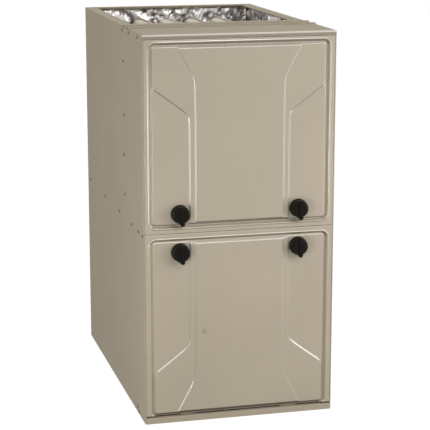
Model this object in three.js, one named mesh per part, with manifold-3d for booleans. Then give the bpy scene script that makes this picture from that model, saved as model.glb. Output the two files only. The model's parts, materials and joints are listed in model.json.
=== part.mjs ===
// Upflow forced-air gas furnace: a sealed sheet-steel cabinet with two lift-off doors, a heat
// exchanger compartment over a blower compartment, and the gas train in the front vestibule.
// Millimetres. x runs left to right across the front, y runs from the door face to the back,
// z runs up from the floor. The last group moves the middle of the bounding box to y = 0.
import * as THREE from 'three';
import { mergeVertices } from 'three/addons/utils/BufferGeometryUtils.js';
import Module from 'manifold-3d';

const wasm = await Module();
wasm.setup();

// ---- driving dimensions -------------------------------------------------------------------
const CASE_W = 444.5; // 17 1/2 in cabinet
const CASE_H = 889; // 35 in
const CASE_D = 724; // 28 1/2 in, door face to back
const HALF_W = CASE_W / 2;
const SHEET = 1.2; // casing steel
const GAP = 0.3; // seam between two touching pieces
const SIDE_TOP = CASE_H - SHEET - GAP;
const HEM = 2 * SHEET; // folded front edge of a side panel
const STOP_Y = 26; // door stop flange behind the front edge
const STOP_W = 14;

const OUTLET_FRONT = 262; // supply outlet, front and back edges
const OUTLET_BACK = 702;
const OUTLET_FLANGE = 29; // width of the flat duct flange at each side
const LEG = 4; // edge of the flange turned down into the outlet

const LIP_H = 10.3; // front lip of the top plate
const RAIL_H = 13.7; // base rail
const RAIL_PROUD = 2.5;
const SPLIT_Z = 443.5; // joint between the doors
const SPLIT_GAP = 1.25;
const DOOR_HALF_W = HALF_W - HEM - 0.35;
const DOOR_SHEET = 1.25;
const DOOR_DEPTH = 24;
const UPPER_TOP = CASE_H - 11;
const LOWER_BOTTOM = 15;

const KNOB_FROM_SIDE = 84; // knob axis from the side of the cabinet
const KNOB_FROM_SPLIT = 44;
const KNOB_R = 20;
const KNOB_PROUD = 20;
const STEM_R = 4.5;
const CAM_Y = 31.5;
const CAM_T = 3;
const CAM_REACH = 24;

const SHELF_Z = 447.2; // top of the blower shelf
const CELL_PANEL_Y = 212;
const CELL_PITCH = 67;
const CELL_X = [-1.5, -0.5, 0.5, 1.5].map((step) => step * CELL_PITCH);
const BURNER_Z = 828;
const BURNER_BOX = { bottom: BURNER_Z - 50, top: BURNER_Z + 46 };
const PASS_PITCH = 70;
const TRANSITION_Y = 654;

const AIR = { y: 172, z: BURNER_Z, r: 30 }; // combustion air tube
const GAS = { y: 112, z: BURNER_Z, r: 11 }; // gas manifold
const INDUCER = { x: -30, y: 145, z: 590, spout: 62 };
const VENT = { y: 145, z: 661, r: 30 };
const DRAIN = { y: 175, z: 478, r: 8 };
const BLOWER = { y: 440, z: 215, r: 127, halfW: 90 };
const SCROLL_HALF_W = 105;
const NECK = { front: 405, back: 635, halfW: 101 };
const DOOR_SWITCH = { x: 60, z: 424 };

// ---- finishes -----------------------------------------------------------------------------
const finish = (color, roughness, metalness) => ({ color, roughness, metalness });
const PAINT = finish(0xb2a891, 0.45, 0.1);
const GALVANISED = finish(0xaeb0ae, 0.4, 0.8);
const ALUMINISED = finish(0xa39c8e, 0.45, 0.75);
const FOIL = finish(0xd8d8da, 0.25, 0.9);
const BLACK = finish(0x0b0908, 0.2, 0.0);
const PLASTIC = finish(0x1f2022, 0.55, 0.0);
const BRASS = finish(0xb08d4a, 0.35, 0.9);
const IRON = finish(0x3a3b3d, 0.6, 0.5);
const CERAMIC = finish(0xe6e0d2, 0.7, 0.0);
const BOARD = finish(0x1f5a3a, 0.6, 0.0);
const RED = finish(0xb3261e, 0.4, 0.0);

// ---- outlines and solids ------------------------------------------------------------------
const X = new THREE.Vector3(1, 0, 0);
const Y = new THREE.Vector3(0, 1, 0);
const Z = new THREE.Vector3(0, 0, 1);
const FRAMES = {
  x: new THREE.Matrix4().makeBasis(Y, Z, X), // outline (y, z)
  y: new THREE.Matrix4().makeBasis(X, Z, Y.clone().negate()), // outline (x, z)
  z: new THREE.Matrix4(), // outline (x, y)
};

function solid(geometry) {
  geometry.deleteAttribute('normal');
  geometry.deleteAttribute('uv');
  const merged = mergeVertices(geometry, 1e-4);
  return new wasm.Manifold(new wasm.Mesh({
    numProp: 3,
    vertProperties: new Float32Array(merged.attributes.position.array),
    triVerts: new Uint32Array(merged.index.array),
  }));
}

const join = (pieces) => pieces.reduce((sum, piece) => sum.add(piece));
const cut = (body, tools) => tools.reduce((rest, tool) => rest.subtract(tool), body);
const toVectors = (outline) => outline.map(([u, v]) => new THREE.Vector2(u, v));

// Straight prism of an outline along one axis.
function prism(outline, axis, from, to) {
  const depth = to - from;
  const geometry = new THREE.ExtrudeGeometry(new THREE.Shape(toVectors(outline)), {
    depth, bevelEnabled: false,
  });
  geometry.translate(0, 0, axis === 'y' ? -to : from);
  geometry.applyMatrix4(FRAMES[axis]);
  return solid(geometry);
}

// Closed skin over rings of equally many points, with flat ends.
function skin(rings, endOutline) {
  const count = rings[0].length;
  const ends = THREE.ShapeUtils.triangulateShape(toVectors(endOutline), []);
  const last = (rings.length - 1) * count;
  const index = [];
  for (let r = 0; r < rings.length - 1; r += 1) {
    for (let i = 0; i < count; i += 1) {
      const a = r * count + i;
      const b = r * count + ((i + 1) % count);
      index.push(a, b, b + count, a, b + count, a + count);
    }
  }
  for (const [a, b, c] of ends) {
    index.push(a, c, b, last + a, last + b, last + c);
  }
  const geometry = new THREE.BufferGeometry();
  geometry.setAttribute('position', new THREE.Float32BufferAttribute(rings.flat(2), 3));
  geometry.setIndex(index);
  return geometry;
}

// Stack of outlines at rising places on one axis: [[place, outline], ...].
function loft(stack, axis) {
  const sign = axis === 'y' ? -1 : 1;
  const sorted = stack.map(([place, outline]) => [sign * place, outline]);
  sorted.sort((a, b) => a[0] - b[0]);
  const turn = THREE.ShapeUtils.area(toVectors(sorted[0][1])) < 0;
  const ordered = sorted.map(([w, outline]) => [w, turn ? [...outline].reverse() : outline]);
  const rings = ordered.map(([w, outline]) => outline.map(([u, v]) => [u, v, w]));
  const geometry = skin(rings, ordered[0][1]);
  geometry.applyMatrix4(FRAMES[axis]);
  return solid(geometry);
}

// Solid along a flat path in the (y, z) plane. A station is [y, z, heading in degrees, section].
function sweep(stations) {
  const rings = stations.map(([y, z, heading, section]) => {
    const turn = THREE.MathUtils.degToRad(heading);
    return section.map(([across, up]) => [
      -across, y - up * Math.sin(turn), z + up * Math.cos(turn),
    ]);
  });
  return solid(skin(rings, stations[0][3]));
}

// Turned solid: profile of [radius, place] pairs round an axis through centre (u, v).
function turned(profile, axis, centre, segments = 16) {
  const points = toVectors(profile);
  if (THREE.ShapeUtils.area(points) < 0) {
    points.reverse();
  }
  const geometry = new THREE.LatheGeometry(points, segments);
  const spin = { x: [Y, X, Z.clone().negate()], y: [X, Y, Z], z: [X, Z, Y.clone().negate()] }[axis];
  geometry.applyMatrix4(new THREE.Matrix4().makeBasis(...spin));
  const [u, v] = centre;
  const shift = { x: [0, u, v], y: [u, 0, v], z: [u, v, 0] }[axis];
  geometry.translate(...shift);
  return solid(geometry);
}

const box = (x, y, z) => prism([[x[0], y[0]], [x[1], y[0]], [x[1], y[1]], [x[0], y[1]]], 'z', ...z);
const rod = (radius, axis, centre, from, to, sides = 16) => (
  prism(circle(radius, sides, ...centre), axis, from, to)
);

function circle(radius, sides, u = 0, v = 0) {
  return Array.from({ length: sides }, (_, i) => {
    const turn = ((i + 0.5) / sides) * 2 * Math.PI;
    return [u + radius * Math.cos(turn), v + radius * Math.sin(turn)];
  });
}

// Corner arc between two headings, in degrees.
function arc(u, v, radius, from, to, steps) {
  return Array.from({ length: steps + 1 }, (_, i) => {
    const turn = THREE.MathUtils.degToRad(from + ((to - from) * i) / steps);
    return [u + radius * Math.cos(turn), v + radius * Math.sin(turn)];
  });
}

function roundedRect(u0, u1, v0, v1, radius, steps = 3) {
  return [
    ...arc(u1 - radius, v0 + radius, radius, -90, 0, steps),
    ...arc(u1 - radius, v1 - radius, radius, 0, 90, steps),
    ...arc(u0 + radius, v1 - radius, radius, 90, 180, steps),
    ...arc(u0 + radius, v0 + radius, radius, 180, 270, steps),
  ];
}

// Outline moved inwards by a distance, with mitred corners.
function inset(outline, distance) {
  const side = THREE.ShapeUtils.area(toVectors(outline)) > 0 ? 1 : -1;
  const count = outline.length;
  return outline.map((point, i) => {
    const before = outline[(i + count - 1) % count];
    const after = outline[(i + 1) % count];
    return mitre(before, point, after, side * distance);
  });
}

function mitre(before, point, after, distance) {
  const inUnit = unit(before, point);
  const outUnit = unit(point, after);
  const lean = 1 + inUnit[0] * outUnit[0] + inUnit[1] * outUnit[1];
  return [
    point[0] - (distance * (inUnit[1] + outUnit[1])) / lean,
    point[1] + (distance * (inUnit[0] + outUnit[0])) / lean,
  ];
}

function unit(from, to) {
  const length = Math.hypot(to[0] - from[0], to[1] - from[1]);
  return [(to[0] - from[0]) / length, (to[1] - from[1]) / length];
}

// Bent sheet seen from its edge: a bend line thickened to its left.
function sheet(line, thickness = SHEET) {
  const last = line.length - 1;
  const inner = line.map((point, i) => {
    const before = i > 0 ? line[i - 1] : extend(line[1], line[0]);
    const after = i < last ? line[i + 1] : extend(line[last - 1], line[last]);
    return mitre(before, point, after, thickness);
  });
  return [...line, ...inner.reverse()];
}

const extend = (from, to) => [2 * to[0] - from[0], 2 * to[1] - from[1]];

const parts = new THREE.Group();

function add(name, body, look) {
  const raw = body.getMesh();
  const geometry = new THREE.BufferGeometry();
  geometry.setAttribute('position', new THREE.Float32BufferAttribute(raw.vertProperties, 3));
  geometry.setIndex([...raw.triVerts]);
  geometry.computeVertexNormals();
  const mesh = new THREE.Mesh(geometry, new THREE.MeshStandardMaterial(look));
  mesh.name = name;
  parts.add(mesh);
}

// ---- casing -------------------------------------------------------------------------------

// Side panel: hemmed front edge, door stop, rear and bottom flanges and the flat duct flange
// along the supply outlet. side is -1 for the left panel and +1 for the right one.
function sidePanel(side) {
  const back = CASE_D - SHEET - GAP;
  const front = GAP;
  const plan = [
    [0, front], [0, back], [15, back], [15, back - SHEET], [SHEET, back - SHEET],
    [SHEET, STOP_Y + SHEET], [STOP_W, STOP_Y + SHEET], [STOP_W, STOP_Y], [HEM, STOP_Y], [HEM, front],
  ];
  const at = (inward) => side * (HALF_W - inward);
  const strip = (near, far, y, z) => {
    const ends = [at(near), at(far)].sort((a, b) => a - b);
    return box(ends, y, z);
  };
  const wall = prism(plan.map(([inward, y]) => [at(inward), y]), 'z', 0, SIDE_TOP);
  const run = [OUTLET_FRONT + GAP, back];
  const step = 0.8; // fine step along the duct flange
  const flange = join([
    strip(0, SHEET, run, [SIDE_TOP - 5, CASE_H]),
    strip(0, 17.6, run, [CASE_H - SHEET, CASE_H]),
    strip(16.4, OUTLET_FLANGE, run, [CASE_H - SHEET - step, CASE_H - step]),
    strip(OUTLET_FLANGE - SHEET, OUTLET_FLANGE, run, [CASE_H - LEG, CASE_H - step]),
    strip(0, 20, [31, back], [0, SHEET]),
  ]);
  const lipNotch = strip(-1, HEM + 1, [-1, 3], [CASE_H - LIP_H - GAP, CASE_H + 1]);
  return cut(join([wall, flange]), [lipNotch]);
}

// The right side carries the entries for air, vent, gas, drain and mains cable.
const SIDE_HOLES = [
  [AIR.y, AIR.z, AIR.r + 2],
  [VENT.y, VENT.z, VENT.r + 2],
  [GAS.y, GAS.z, 22],
  [DRAIN.y, DRAIN.z, DRAIN.r + 4],
  [90, 400, 11],
];

function rightSidePanel() {
  const holes = SIDE_HOLES.map(([y, z, r]) => rod(r, 'x', [y, z], HALF_W - 5, HALF_W + 5, 16));
  return cut(sidePanel(1), holes);
}

function backPanel() {
  const face = [CASE_D - SHEET, CASE_D];
  const flangeHalf = HALF_W - OUTLET_FLANGE - GAP;
  return join([
    box([-HALF_W, HALF_W], face, [0, CASE_H]),
    box([-flangeHalf, flangeHalf], [OUTLET_BACK, CASE_D], [CASE_H - SHEET, CASE_H]),
    box([-flangeHalf, flangeHalf], [OUTLET_BACK, OUTLET_BACK + SHEET], [CASE_H - LEG, CASE_H]),
    box([-HALF_W + 20 + GAP, HALF_W - 20 - GAP], [OUTLET_BACK, CASE_D], [0, SHEET]),
  ]);
}

// Top plate: closed front part of the top, with a front lip and two stiffening beads.
function topPlate() {
  const bead = (middle, half) => [
    [middle - half - 3, CASE_H], [middle - half, CASE_H + 3],
    [middle + half, CASE_H + 3], [middle + half + 3, CASE_H],
  ];
  const line = [
    [0, CASE_H - LIP_H], [0, CASE_H - 3.5], [0.8, CASE_H - 1], [3.5, CASE_H],
    ...bead(160, 6), ...bead(208, 5),
    [OUTLET_FRONT, CASE_H], [OUTLET_FRONT, CASE_H - 2 * LEG],
  ];
  const turnDown = [OUTLET_FRONT - 5, OUTLET_FRONT + 5];
  const ends = [-1, 1].map((side) => (
    box([side * 207, side * (HALF_W + 1)].sort((a, b) => a - b), turnDown, [CASE_H - 16, SIDE_TOP + 0.1])
  ));
  return cut(prism(sheet(line, -SHEET), 'x', -HALF_W, HALF_W), ends);
}

// Base rail: a channel along the floor whose top flange catches the hooks of the lower door.
function baseRail() {
  const half = HALF_W + 1.2;
  const wall = 1.5;
  const corner = 6;
  const back = STOP_Y - GAP;
  const plan = [
    ...arc(-half + corner, -RAIL_PROUD + corner, corner, 180, 270, 4),
    ...arc(half - corner, -RAIL_PROUD + corner, corner, 270, 360, 4),
    [half, back], [-half, back],
  ];
  const inner = inset(plan, wall);
  const body = loft([
    [0, plan], [RAIL_H - 1.5, plan], [RAIL_H, inset(plan, 1)],
  ], 'z');
  return cut(body, [
    loft([[wall, inner], [RAIL_H - wall, inner]], 'z'),
    box([-half - 1, half + 1], [8, back + 1], [wall, RAIL_H + 1]),
    box([-half - 1, -HALF_W + 3], [0, back + 1], [-1, RAIL_H + 1]),
    box([HALF_W - 3, half + 1], [0, back + 1], [-1, RAIL_H + 1]),
  ]);
}

function bottomClosure() {
  const half = HALF_W - SHEET - GAP;
  const y = [28, CASE_D - 3.5];
  const z = SHEET + 2 * GAP;
  return join([
    box([-half, half], y, [z, z + SHEET]),
    box([-half, half], [y[1] - SHEET, y[1]], [z, z + 14]),
    box([-half, half], [y[0], y[0] + SHEET], [z, z + 12]),
  ]);
}

// Centre rail: hemmed bar behind the joint of the doors, which the latch cams turn behind.
function centreRail() {
  const web = join([
    box([-219, 219], [27.5, 29.9], [413.5, 473.5]),
    box([-218, 218], [27.5, 52], [SHELF_Z + GAP, SHELF_Z + GAP + SHEET]),
  ]);
  return cut(web, [rod(5, 'y', [DOOR_SWITCH.x, DOOR_SWITCH.z], 20, 35, 12)]);
}

function blowerShelf() {
  const half = HALF_W - SHEET - GAP - 0.05;
  const y = [30.4, CASE_D - 3.5];
  const turnDown = [SHELF_Z - 15, SHELF_Z];
  const deck = join([
    box([-half, half], y, [SHELF_Z - SHEET, SHELF_Z]),
    box([-half, -half + SHEET], y, turnDown),
    box([half - SHEET, half], y, turnDown),
    box([-half, half], [y[0], y[0] + SHEET], turnDown),
    box([-half, half], [y[1] - SHEET, y[1]], turnDown),
  ]);
  const opening = box([-NECK.halfW, NECK.halfW], [NECK.front, NECK.back], [SHELF_Z - 5, SHELF_Z + 5]);
  return cut(deck, [opening]);
}

// Cell panel: wall between the burner vestibule and the heat exchangers.
function cellPanel() {
  const half = HALF_W - SHEET - GAP - 0.05;
  const y = [CELL_PANEL_Y, CELL_PANEL_Y + SHEET];
  const z = [SHELF_Z + GAP, SIDE_TOP - 0.1];
  const forward = [CELL_PANEL_Y - 15, CELL_PANEL_Y + SHEET];
  const wall = join([
    box([-half, half], y, z),
    box([-half, -half + SHEET], forward, z),
    box([half - SHEET, half], forward, z),
    box([-half, half], forward, [z[0], z[0] + SHEET]),
  ]);
  const through = [CELL_PANEL_Y - 5, CELL_PANEL_Y + 5];
  const inlets = CELL_X.map((x) => rod(19, 'y', [x, BURNER_Z], ...through));
  const windows = [-2.5, -1.5, -0.5, 0.5, 1.5, 2.5].map((step) => (
    box([step * 46 - 18, step * 46 + 18], through, [484, 542])
  ));
  return cut(wall, [...inlets, ...windows, rod(11, 'y', [150, 700], ...through, 12)]);
}

// ---- heat exchangers ----------------------------------------------------------------------

// Clamshell cell: two pressed halves seamed together. The gas path is tall over the burner and
// narrows as it runs back, forward and back again.
const PASS = { wide: 24.5, tall: 38, narrow: 19, low: 20 };

function heatExchangerCell(x) {
  const front = CELL_PANEL_Y + SHEET + GAP;
  const bend = PASS_PITCH / 2;
  const turnBack = (y, z, from, side) => [0, 1, 2, 3, 4, 5].map((i) => {
    const heading = from + side * i * 36;
    const lean = THREE.MathUtils.degToRad(heading);
    return [y + side * bend * Math.sin(lean), z - side * bend * Math.cos(lean), heading];
  });
  const stations = [
    [front, BURNER_Z, 0],
    ...turnBack(590, BURNER_Z - bend, 0, -1),
    ...turnBack(280, BURNER_Z - PASS_PITCH - bend, -180, 1),
    [TRANSITION_Y - GAP, BURNER_Z - 2 * PASS_PITCH, 0],
  ];
  const last = stations.length - 1;
  const channel = (wall) => stations.map(([y, z, heading], i) => {
    const shrunk = Math.min(1, Math.max(0, (i - 1) / 5));
    const half = [
      PASS.wide + (PASS.narrow - PASS.wide) * shrunk - wall,
      PASS.tall + (PASS.low - PASS.tall) * shrunk - wall,
    ];
    const past = wall > 0 ? (i === last) - (i === 0) : 0;
    return [y + past, z, heading, roundedRect(-half[0], half[0], -half[1], half[1], 15 - wall, 2)];
  });
  const seam = prism(roundedRect(front, 640, BURNER_Z - 178, BURNER_Z + 42, 14), 'x', -1.5, 1.5);
  return cut(join([sweep(channel(0)), seam]), [sweep(channel(1.2))]).translate([x, 0, 0]);
}

// Condensing coil: tubes run front to back between two headers, through a pack of fins.
function condensingCoil() {
  const y = [236, TRANSITION_Y - GAP];
  const fins = 22;
  const pitch = (y[1] - y[0] - 40) / fins;
  const z = [482, 600];
  const core = [514, 568];
  const outline = [[y[0], z[0]]];
  const slots = Array.from({ length: fins }, (_, i) => y[0] + 15 + (i + 0.25) * pitch);
  for (const start of slots) {
    const end = start + pitch / 2;
    outline.push([start, z[0]], [start, core[0]], [end, core[0]], [end, z[0]]);
  }
  outline.push([y[1], z[0]], [y[1], z[1]]);
  for (const start of [...slots].reverse()) {
    const end = start + pitch / 2;
    outline.push([end, z[1]], [end, core[1]], [start, core[1]], [start, z[1]]);
  }
  outline.push([y[0], z[1]]);
  const pack = prism(outline, 'x', -160, 160);
  const necks = [-2.5, -1.5, -0.5, 0.5, 1.5, 2.5].map((step) => (
    rod(15, 'y', [step * 46, 513], CELL_PANEL_Y + SHEET + GAP, y[0] + 5, 10)
  ));
  return join([pack, ...necks]);
}

// Transition box: leads the gas from the cells down into the rear header of the coil.
function transitionBox() {
  const shell = box([-140, 140], [TRANSITION_Y, 700], [486, 706]);
  const hollow = box([-138.5, 138.5], [TRANSITION_Y - 4, 698.5], [487.5, 704.5]);
  const flange = cut(box([-152, 152], [TRANSITION_Y, TRANSITION_Y + 1.5], [474, 718]), [hollow]);
  return join([cut(shell, [hollow]), flange]);
}

// Collector box: moulded cover that gathers the cooled gas and leads it to the inducer.
function collectorBox() {
  const y = [172, CELL_PANEL_Y - GAP];
  const wall = 3;
  const outline = [
    [-160, 468], [160, 468], [160, 556], [50, 556], [22, 640], [-82, 640], [-110, 556], [-160, 556],
  ];
  const shell = prism(outline, 'y', ...y);
  const hollow = prism(inset(outline, wall), 'y', y[0] + wall, y[1] + 5);
  const rim = prism(inset(outline, -8), 'y', y[1] - 4, y[1]);
  const ribs = [-130, 75, 105, 135].map((x) => box([x - 1.5, x + 1.5], [y[0] - 4, y[0] + 1], [474, 550]));
  const outlet = rod(24, 'y', [INDUCER.x, INDUCER.z], y[0] - 5, y[0] + 10, 16);
  const drain = rod(4, 'x', [DRAIN.y + 10, 482], 150, 175, 10);
  return cut(join([shell, rim, ...ribs]), [hollow, outlet, drain]);
}

// Foil-faced blanket on each inner wall of the heat exchanger compartment.
function insulation(x, y, top) {
  return box(x, y, [SHELF_Z + 1.5, top]);
}

// ---- gas train ----------------------------------------------------------------------------

const IGNITER_Z = BURNER_Z + 30;

function burnerBox() {
  const x = [-160, 160];
  const y = [137, CELL_PANEL_Y - GAP];
  const z = [BURNER_BOX.bottom, BURNER_BOX.top];
  const shell = box(x, y, z);
  const hollow = box([x[0] + SHEET, x[1] - SHEET], [y[0] + SHEET, y[1] + 5], [z[0] + SHEET, z[1] - SHEET]);
  const rim = box([x[0] - 12, x[1] + 12], [y[1] - SHEET, y[1]], [z[0] - 11, z[1] + 11]);
  const orifices = CELL_X.map((at) => rod(9, 'y', [at, BURNER_Z], y[0] - 5, y[0] + 5, 12));
  return cut(join([shell, rim]), [
    hollow, ...orifices,
    rod(AIR.r - 3, 'x', [AIR.y, AIR.z], 150, 170, 16),
    rod(6.5, 'x', [192, IGNITER_Z], -170, -150, 10),
    rod(5.5, 'z', [CELL_X[3], 190], z[0] - 5, z[0] + 5, 10),
  ]);
}

// In-shot burner: bell mouth, throat, mixing tube and flame holder.
function burner(x) {
  const profile = [
    [0, 158], [12, 158], [12, 153], [17, 153], [13, 166], [13, 192], [17.5, 198], [17.5, 209],
    [14, 209], [14, 203], [0, 203],
  ];
  return turned(profile, 'y', [x, BURNER_Z], 12);
}

function gasManifold() {
  const pipe = rod(GAS.r, 'x', [GAS.y, GAS.z], -126, 128, 14);
  const cap = rod(GAS.r + 3, 'x', [GAS.y, GAS.z], -136, -120, 8);
  const spuds = CELL_X.map((x) => join([
    rod(8, 'y', [x, GAS.z], GAS.y, GAS.y + 19, 6),
    rod(5, 'y', [x, GAS.z], GAS.y, 150, 8),
  ]));
  const feet = [-67, 67].map((x) => join([
    box([x - 8, x + 8], [GAS.y, 136.7], [GAS.z - 24, GAS.z - 22]),
    box([x - 8, x + 8], [GAS.y - 2, GAS.y + 2], [GAS.z - 24, GAS.z]),
    box([x - 8, x + 8], [134.7, 136.7], [GAS.z - 38, GAS.z - 22]),
  ]));
  return join([pipe, cap, ...spuds, ...feet]);
}

function gasValve() {
  const y = [86, 136];
  const middle = GAS.z;
  const deck = middle + 28;
  const body = loft([
    [middle - 27, roundedRect(131, 194, 88, 134, 6, 2)],
    [middle - 24, roundedRect(129, 196, ...y, 8, 2)],
    [deck - 4, roundedRect(129, 196, ...y, 8, 2)],
    [deck, roundedRect(132, 193, 89, 133, 6, 2)],
  ], 'z');
  const tower = turned([
    [0, deck - 2], [10, deck - 2], [10, deck + 10], [7, deck + 13], [0, deck + 13],
  ], 'z', [148, 111], 12);
  const vent = turned([[0, deck - 2], [7, deck - 2], [7, deck + 7], [0, deck + 7]], 'z', [176, 111], 6);
  const coil = turned([[0, 66], [15, 66], [17, 68], [17, 88], [0, 88]], 'y', [176, middle - 4], 16);
  const collar = rod(16, 'x', [GAS.y, middle], 194, 206, 8);
  const bezel = box([136, 158], [84.5, 88], [middle + 6, middle + 18]);
  const inlet = rod(10, 'x', [GAS.y, middle], 184, 210, 12);
  return cut(join([body, tower, vent, coil, collar, bezel]), [inlet]);
}

const gasValveSwitch = () => prism(
  [[139, 84.2], [139, 80], [141, 78], [144, 78], [146, 80], [146, 84.2]],
  'z', GAS.z + 8.5, GAS.z + 15.5,
);

function igniter() {
  const axis = [192, IGNITER_Z];
  return join([
    box([-165, -160.3], [182, 202], [IGNITER_Z - 8, IGNITER_Z + 8]),
    rod(5.8, 'x', axis, -182, -138, 10),
    box([-140, -108], [187, 197], [IGNITER_Z - 2, IGNITER_Z + 1]),
  ]);
}

function flameSensor() {
  const at = [CELL_X[3], 190];
  const seat = BURNER_BOX.bottom - GAP;
  return join([
    box([at[0] - 8, at[0] + 16], [184, 196], [seat - 3, seat]),
    rod(4.8, 'z', at, seat - 20, seat + 10, 10),
    rod(1.6, 'z', at, seat + 8, seat + 28, 6),
  ]);
}

// Roll-out switch with a manual reset button in its cap.
const ROLLOUT = { x: -60, y: 170, seat: BURNER_BOX.bottom - GAP };

function rolloutSwitch() {
  const { x, y, seat } = ROLLOUT;
  const body = turned([
    [0, seat], [13, seat], [13, seat - 4.7], [9, seat - 4.7], [9, seat - 13.7], [0, seat - 13.7],
  ], 'z', [x, y], 14);
  const ears = box([x - 20, x + 20], [y - 5, y + 5], [seat - 1.5, seat]);
  return cut(join([body, ears]), [rod(3.6, 'z', [x, y], seat - 22, seat - 7.7, 10)]);
}

function rolloutReset() {
  const { x, y, seat } = ROLLOUT;
  return turned([
    [0, seat - 8.7], [3, seat - 8.7], [3, seat - 16.1], [2.2, seat - 16.7], [0, seat - 16.7],
  ], 'z', [x, y], 10);
}

function limitSwitch() {
  const y = CELL_PANEL_Y - GAP;
  return join([
    box([130, 170], [y - 1.5, y], [692, 708]),
    turned([[0, 196], [10, 196], [10, y], [0, y]], 'y', [150, 700], 14),
    rod(9, 'y', [150, 700], y - 1, y + 9, 12),
    box([144, 146], [188, 197], [697, 703]),
    box([154, 156], [188, 197], [697, 703]),
  ]);
}

// ---- inducer and vent ---------------------------------------------------------------------

// Volute outline round (u, v): the radius grows evenly from the cut-off to the outlet.
function volute(u, v, r0, r1, from, to, steps) {
  return Array.from({ length: steps + 1 }, (_, i) => {
    const part = i / steps;
    const turn = THREE.MathUtils.degToRad(from + (to - from) * part);
    const radius = r0 + (r1 - r0) * part;
    return [u + radius * Math.cos(turn), v + radius * Math.sin(turn)];
  });
}

function inducerHousing() {
  const y = [118, 171.7];
  const spoutEnd = INDUCER.spout;
  const spiral = volute(INDUCER.x, INDUCER.z, 60, 97, 50, -270, 20);
  const outline = [...spiral, [spoutEnd, INDUCER.z + 97], [spoutEnd, INDUCER.z + 46]];
  const wall = 3;
  const inner = inset(outline, wall);
  const throat = [
    [spoutEnd - 10, INDUCER.z + 97 - wall], [spoutEnd + 5, INDUCER.z + 97 - wall],
    [spoutEnd + 5, INDUCER.z + 46 + wall], [spoutEnd - 10, INDUCER.z + 46 + wall],
  ];
  const hollowY = [y[0] + wall, y[1] - wall];
  const rim = prism(inset(outline, -4), 'y', 143, 147);
  const lugs = [40, 160, 280].map((angle) => {
    const [x, z] = volute(INDUCER.x, INDUCER.z, 40, 40, angle, angle, 1)[0];
    return rod(6, 'y', [x, z], y[0] - 5, y[0] + 2, 8);
  });
  return cut(join([prism(outline, 'y', ...y), rim, ...lugs]), [
    prism(inner, 'y', ...hollowY),
    prism(throat, 'y', ...hollowY),
    rod(24, 'y', [INDUCER.x, INDUCER.z], y[1] - 8, y[1] + 5, 16),
    rod(7, 'y', [INDUCER.x, INDUCER.z], y[0] - 5, y[0] + 8, 12),
  ]);
}

// Curved blade of a fan wheel, from the inner to the outer radius.
function blade(inner, outer, sweepBack, thickness, steps) {
  const edge = (side) => Array.from({ length: steps + 1 }, (_, i) => {
    const part = i / steps;
    const radius = inner + (outer - inner) * part;
    const lean = THREE.MathUtils.degToRad(sweepBack * part ** 2);
    const turn = lean + (side * thickness) / 2 / radius;
    return [radius * Math.cos(turn), radius * Math.sin(turn)];
  });
  return [...edge(-1), ...edge(1).reverse()];
}

const spin = (outline, degrees) => {
  const turn = THREE.MathUtils.degToRad(degrees);
  return outline.map(([u, v]) => [
    u * Math.cos(turn) - v * Math.sin(turn), u * Math.sin(turn) + v * Math.cos(turn),
  ]);
};

const around = (outline, u, v) => outline.map(([p, q]) => [p + u, q + v]);

function inducerWheel() {
  const centre = [INDUCER.x, INDUCER.z];
  const blades = Array.from({ length: 12 }, (_, i) => (
    prism(around(spin(blade(20, 50, -24, 2, 3), i * 30), ...centre), 'y', 127, 152)
  ));
  const plate = turned([
    [0, 80], [4, 80], [4, 124.5], [12, 124.5], [50, 126], [50, 128], [12, 128], [9, 146], [0, 146],
  ], 'y', centre, 16);
  return join([plate, ...blades]);
}

function inducerMotor() {
  const centre = [INDUCER.x, INDUCER.z];
  const can = turned([
    [0, 60], [22, 60], [34, 66], [38, 74], [38, 104], [34, 109], [0, 109],
  ], 'y', centre, 20);
  const legs = [40, 160, 280].map((angle) => {
    const spoke = spin([[26, -5], [45, -5], [45, 5], [26, 5]], angle);
    return prism(around(spoke, ...centre), 'y', 105, 112.7);
  });
  const bore = rod(4.4, 'y', centre, 76, 120, 12);
  return cut(join([can, ...legs]), [bore]);
}

// Vent tube: rubber coupling from the inducer to the side of the casing.
function ventTube() {
  const start = INDUCER.spout + 4 + GAP;
  const neck = rod(VENT.r, 'x', [VENT.y, VENT.z], start, 219, 16);
  const beads = [74, 196].map((x) => rod(VENT.r + 1.8, 'x', [VENT.y, VENT.z], x, x + 12, 16));
  const bore = rod(VENT.r - 3, 'x', [VENT.y, VENT.z], 60, 225, 16);
  return cut(join([neck, ...beads]), [bore]);
}

function airTube() {
  const tube = rod(AIR.r, 'x', [AIR.y, AIR.z], 160.3, 219, 16);
  const collar = rod(AIR.r + 4, 'x', [AIR.y, AIR.z], 160.3, 164, 16);
  const bore = rod(AIR.r - 3, 'x', [AIR.y, AIR.z], 158, 225, 16);
  return cut(join([tube, collar]), [bore]);
}

function pressureSwitch() {
  const plate = CELL_PANEL_Y - GAP;
  const centre = [-165, 690];
  return join([
    box([-205, -125], [plate - 1.5, plate], [652, 728]),
    turned([
      [0, plate - 1], [34, plate - 1], [34, 201], [36, 200], [36, 196], [34, 195],
      [26, 188], [10, 186], [0, 186],
    ], 'y', centre, 20),
    turned([[0, 172], [3, 172], [3.6, 178], [3, 188], [0, 188]], 'y', centre, 10),
    box([-190, -184], [184, 198], [686, 694]),
  ]);
}

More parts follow.
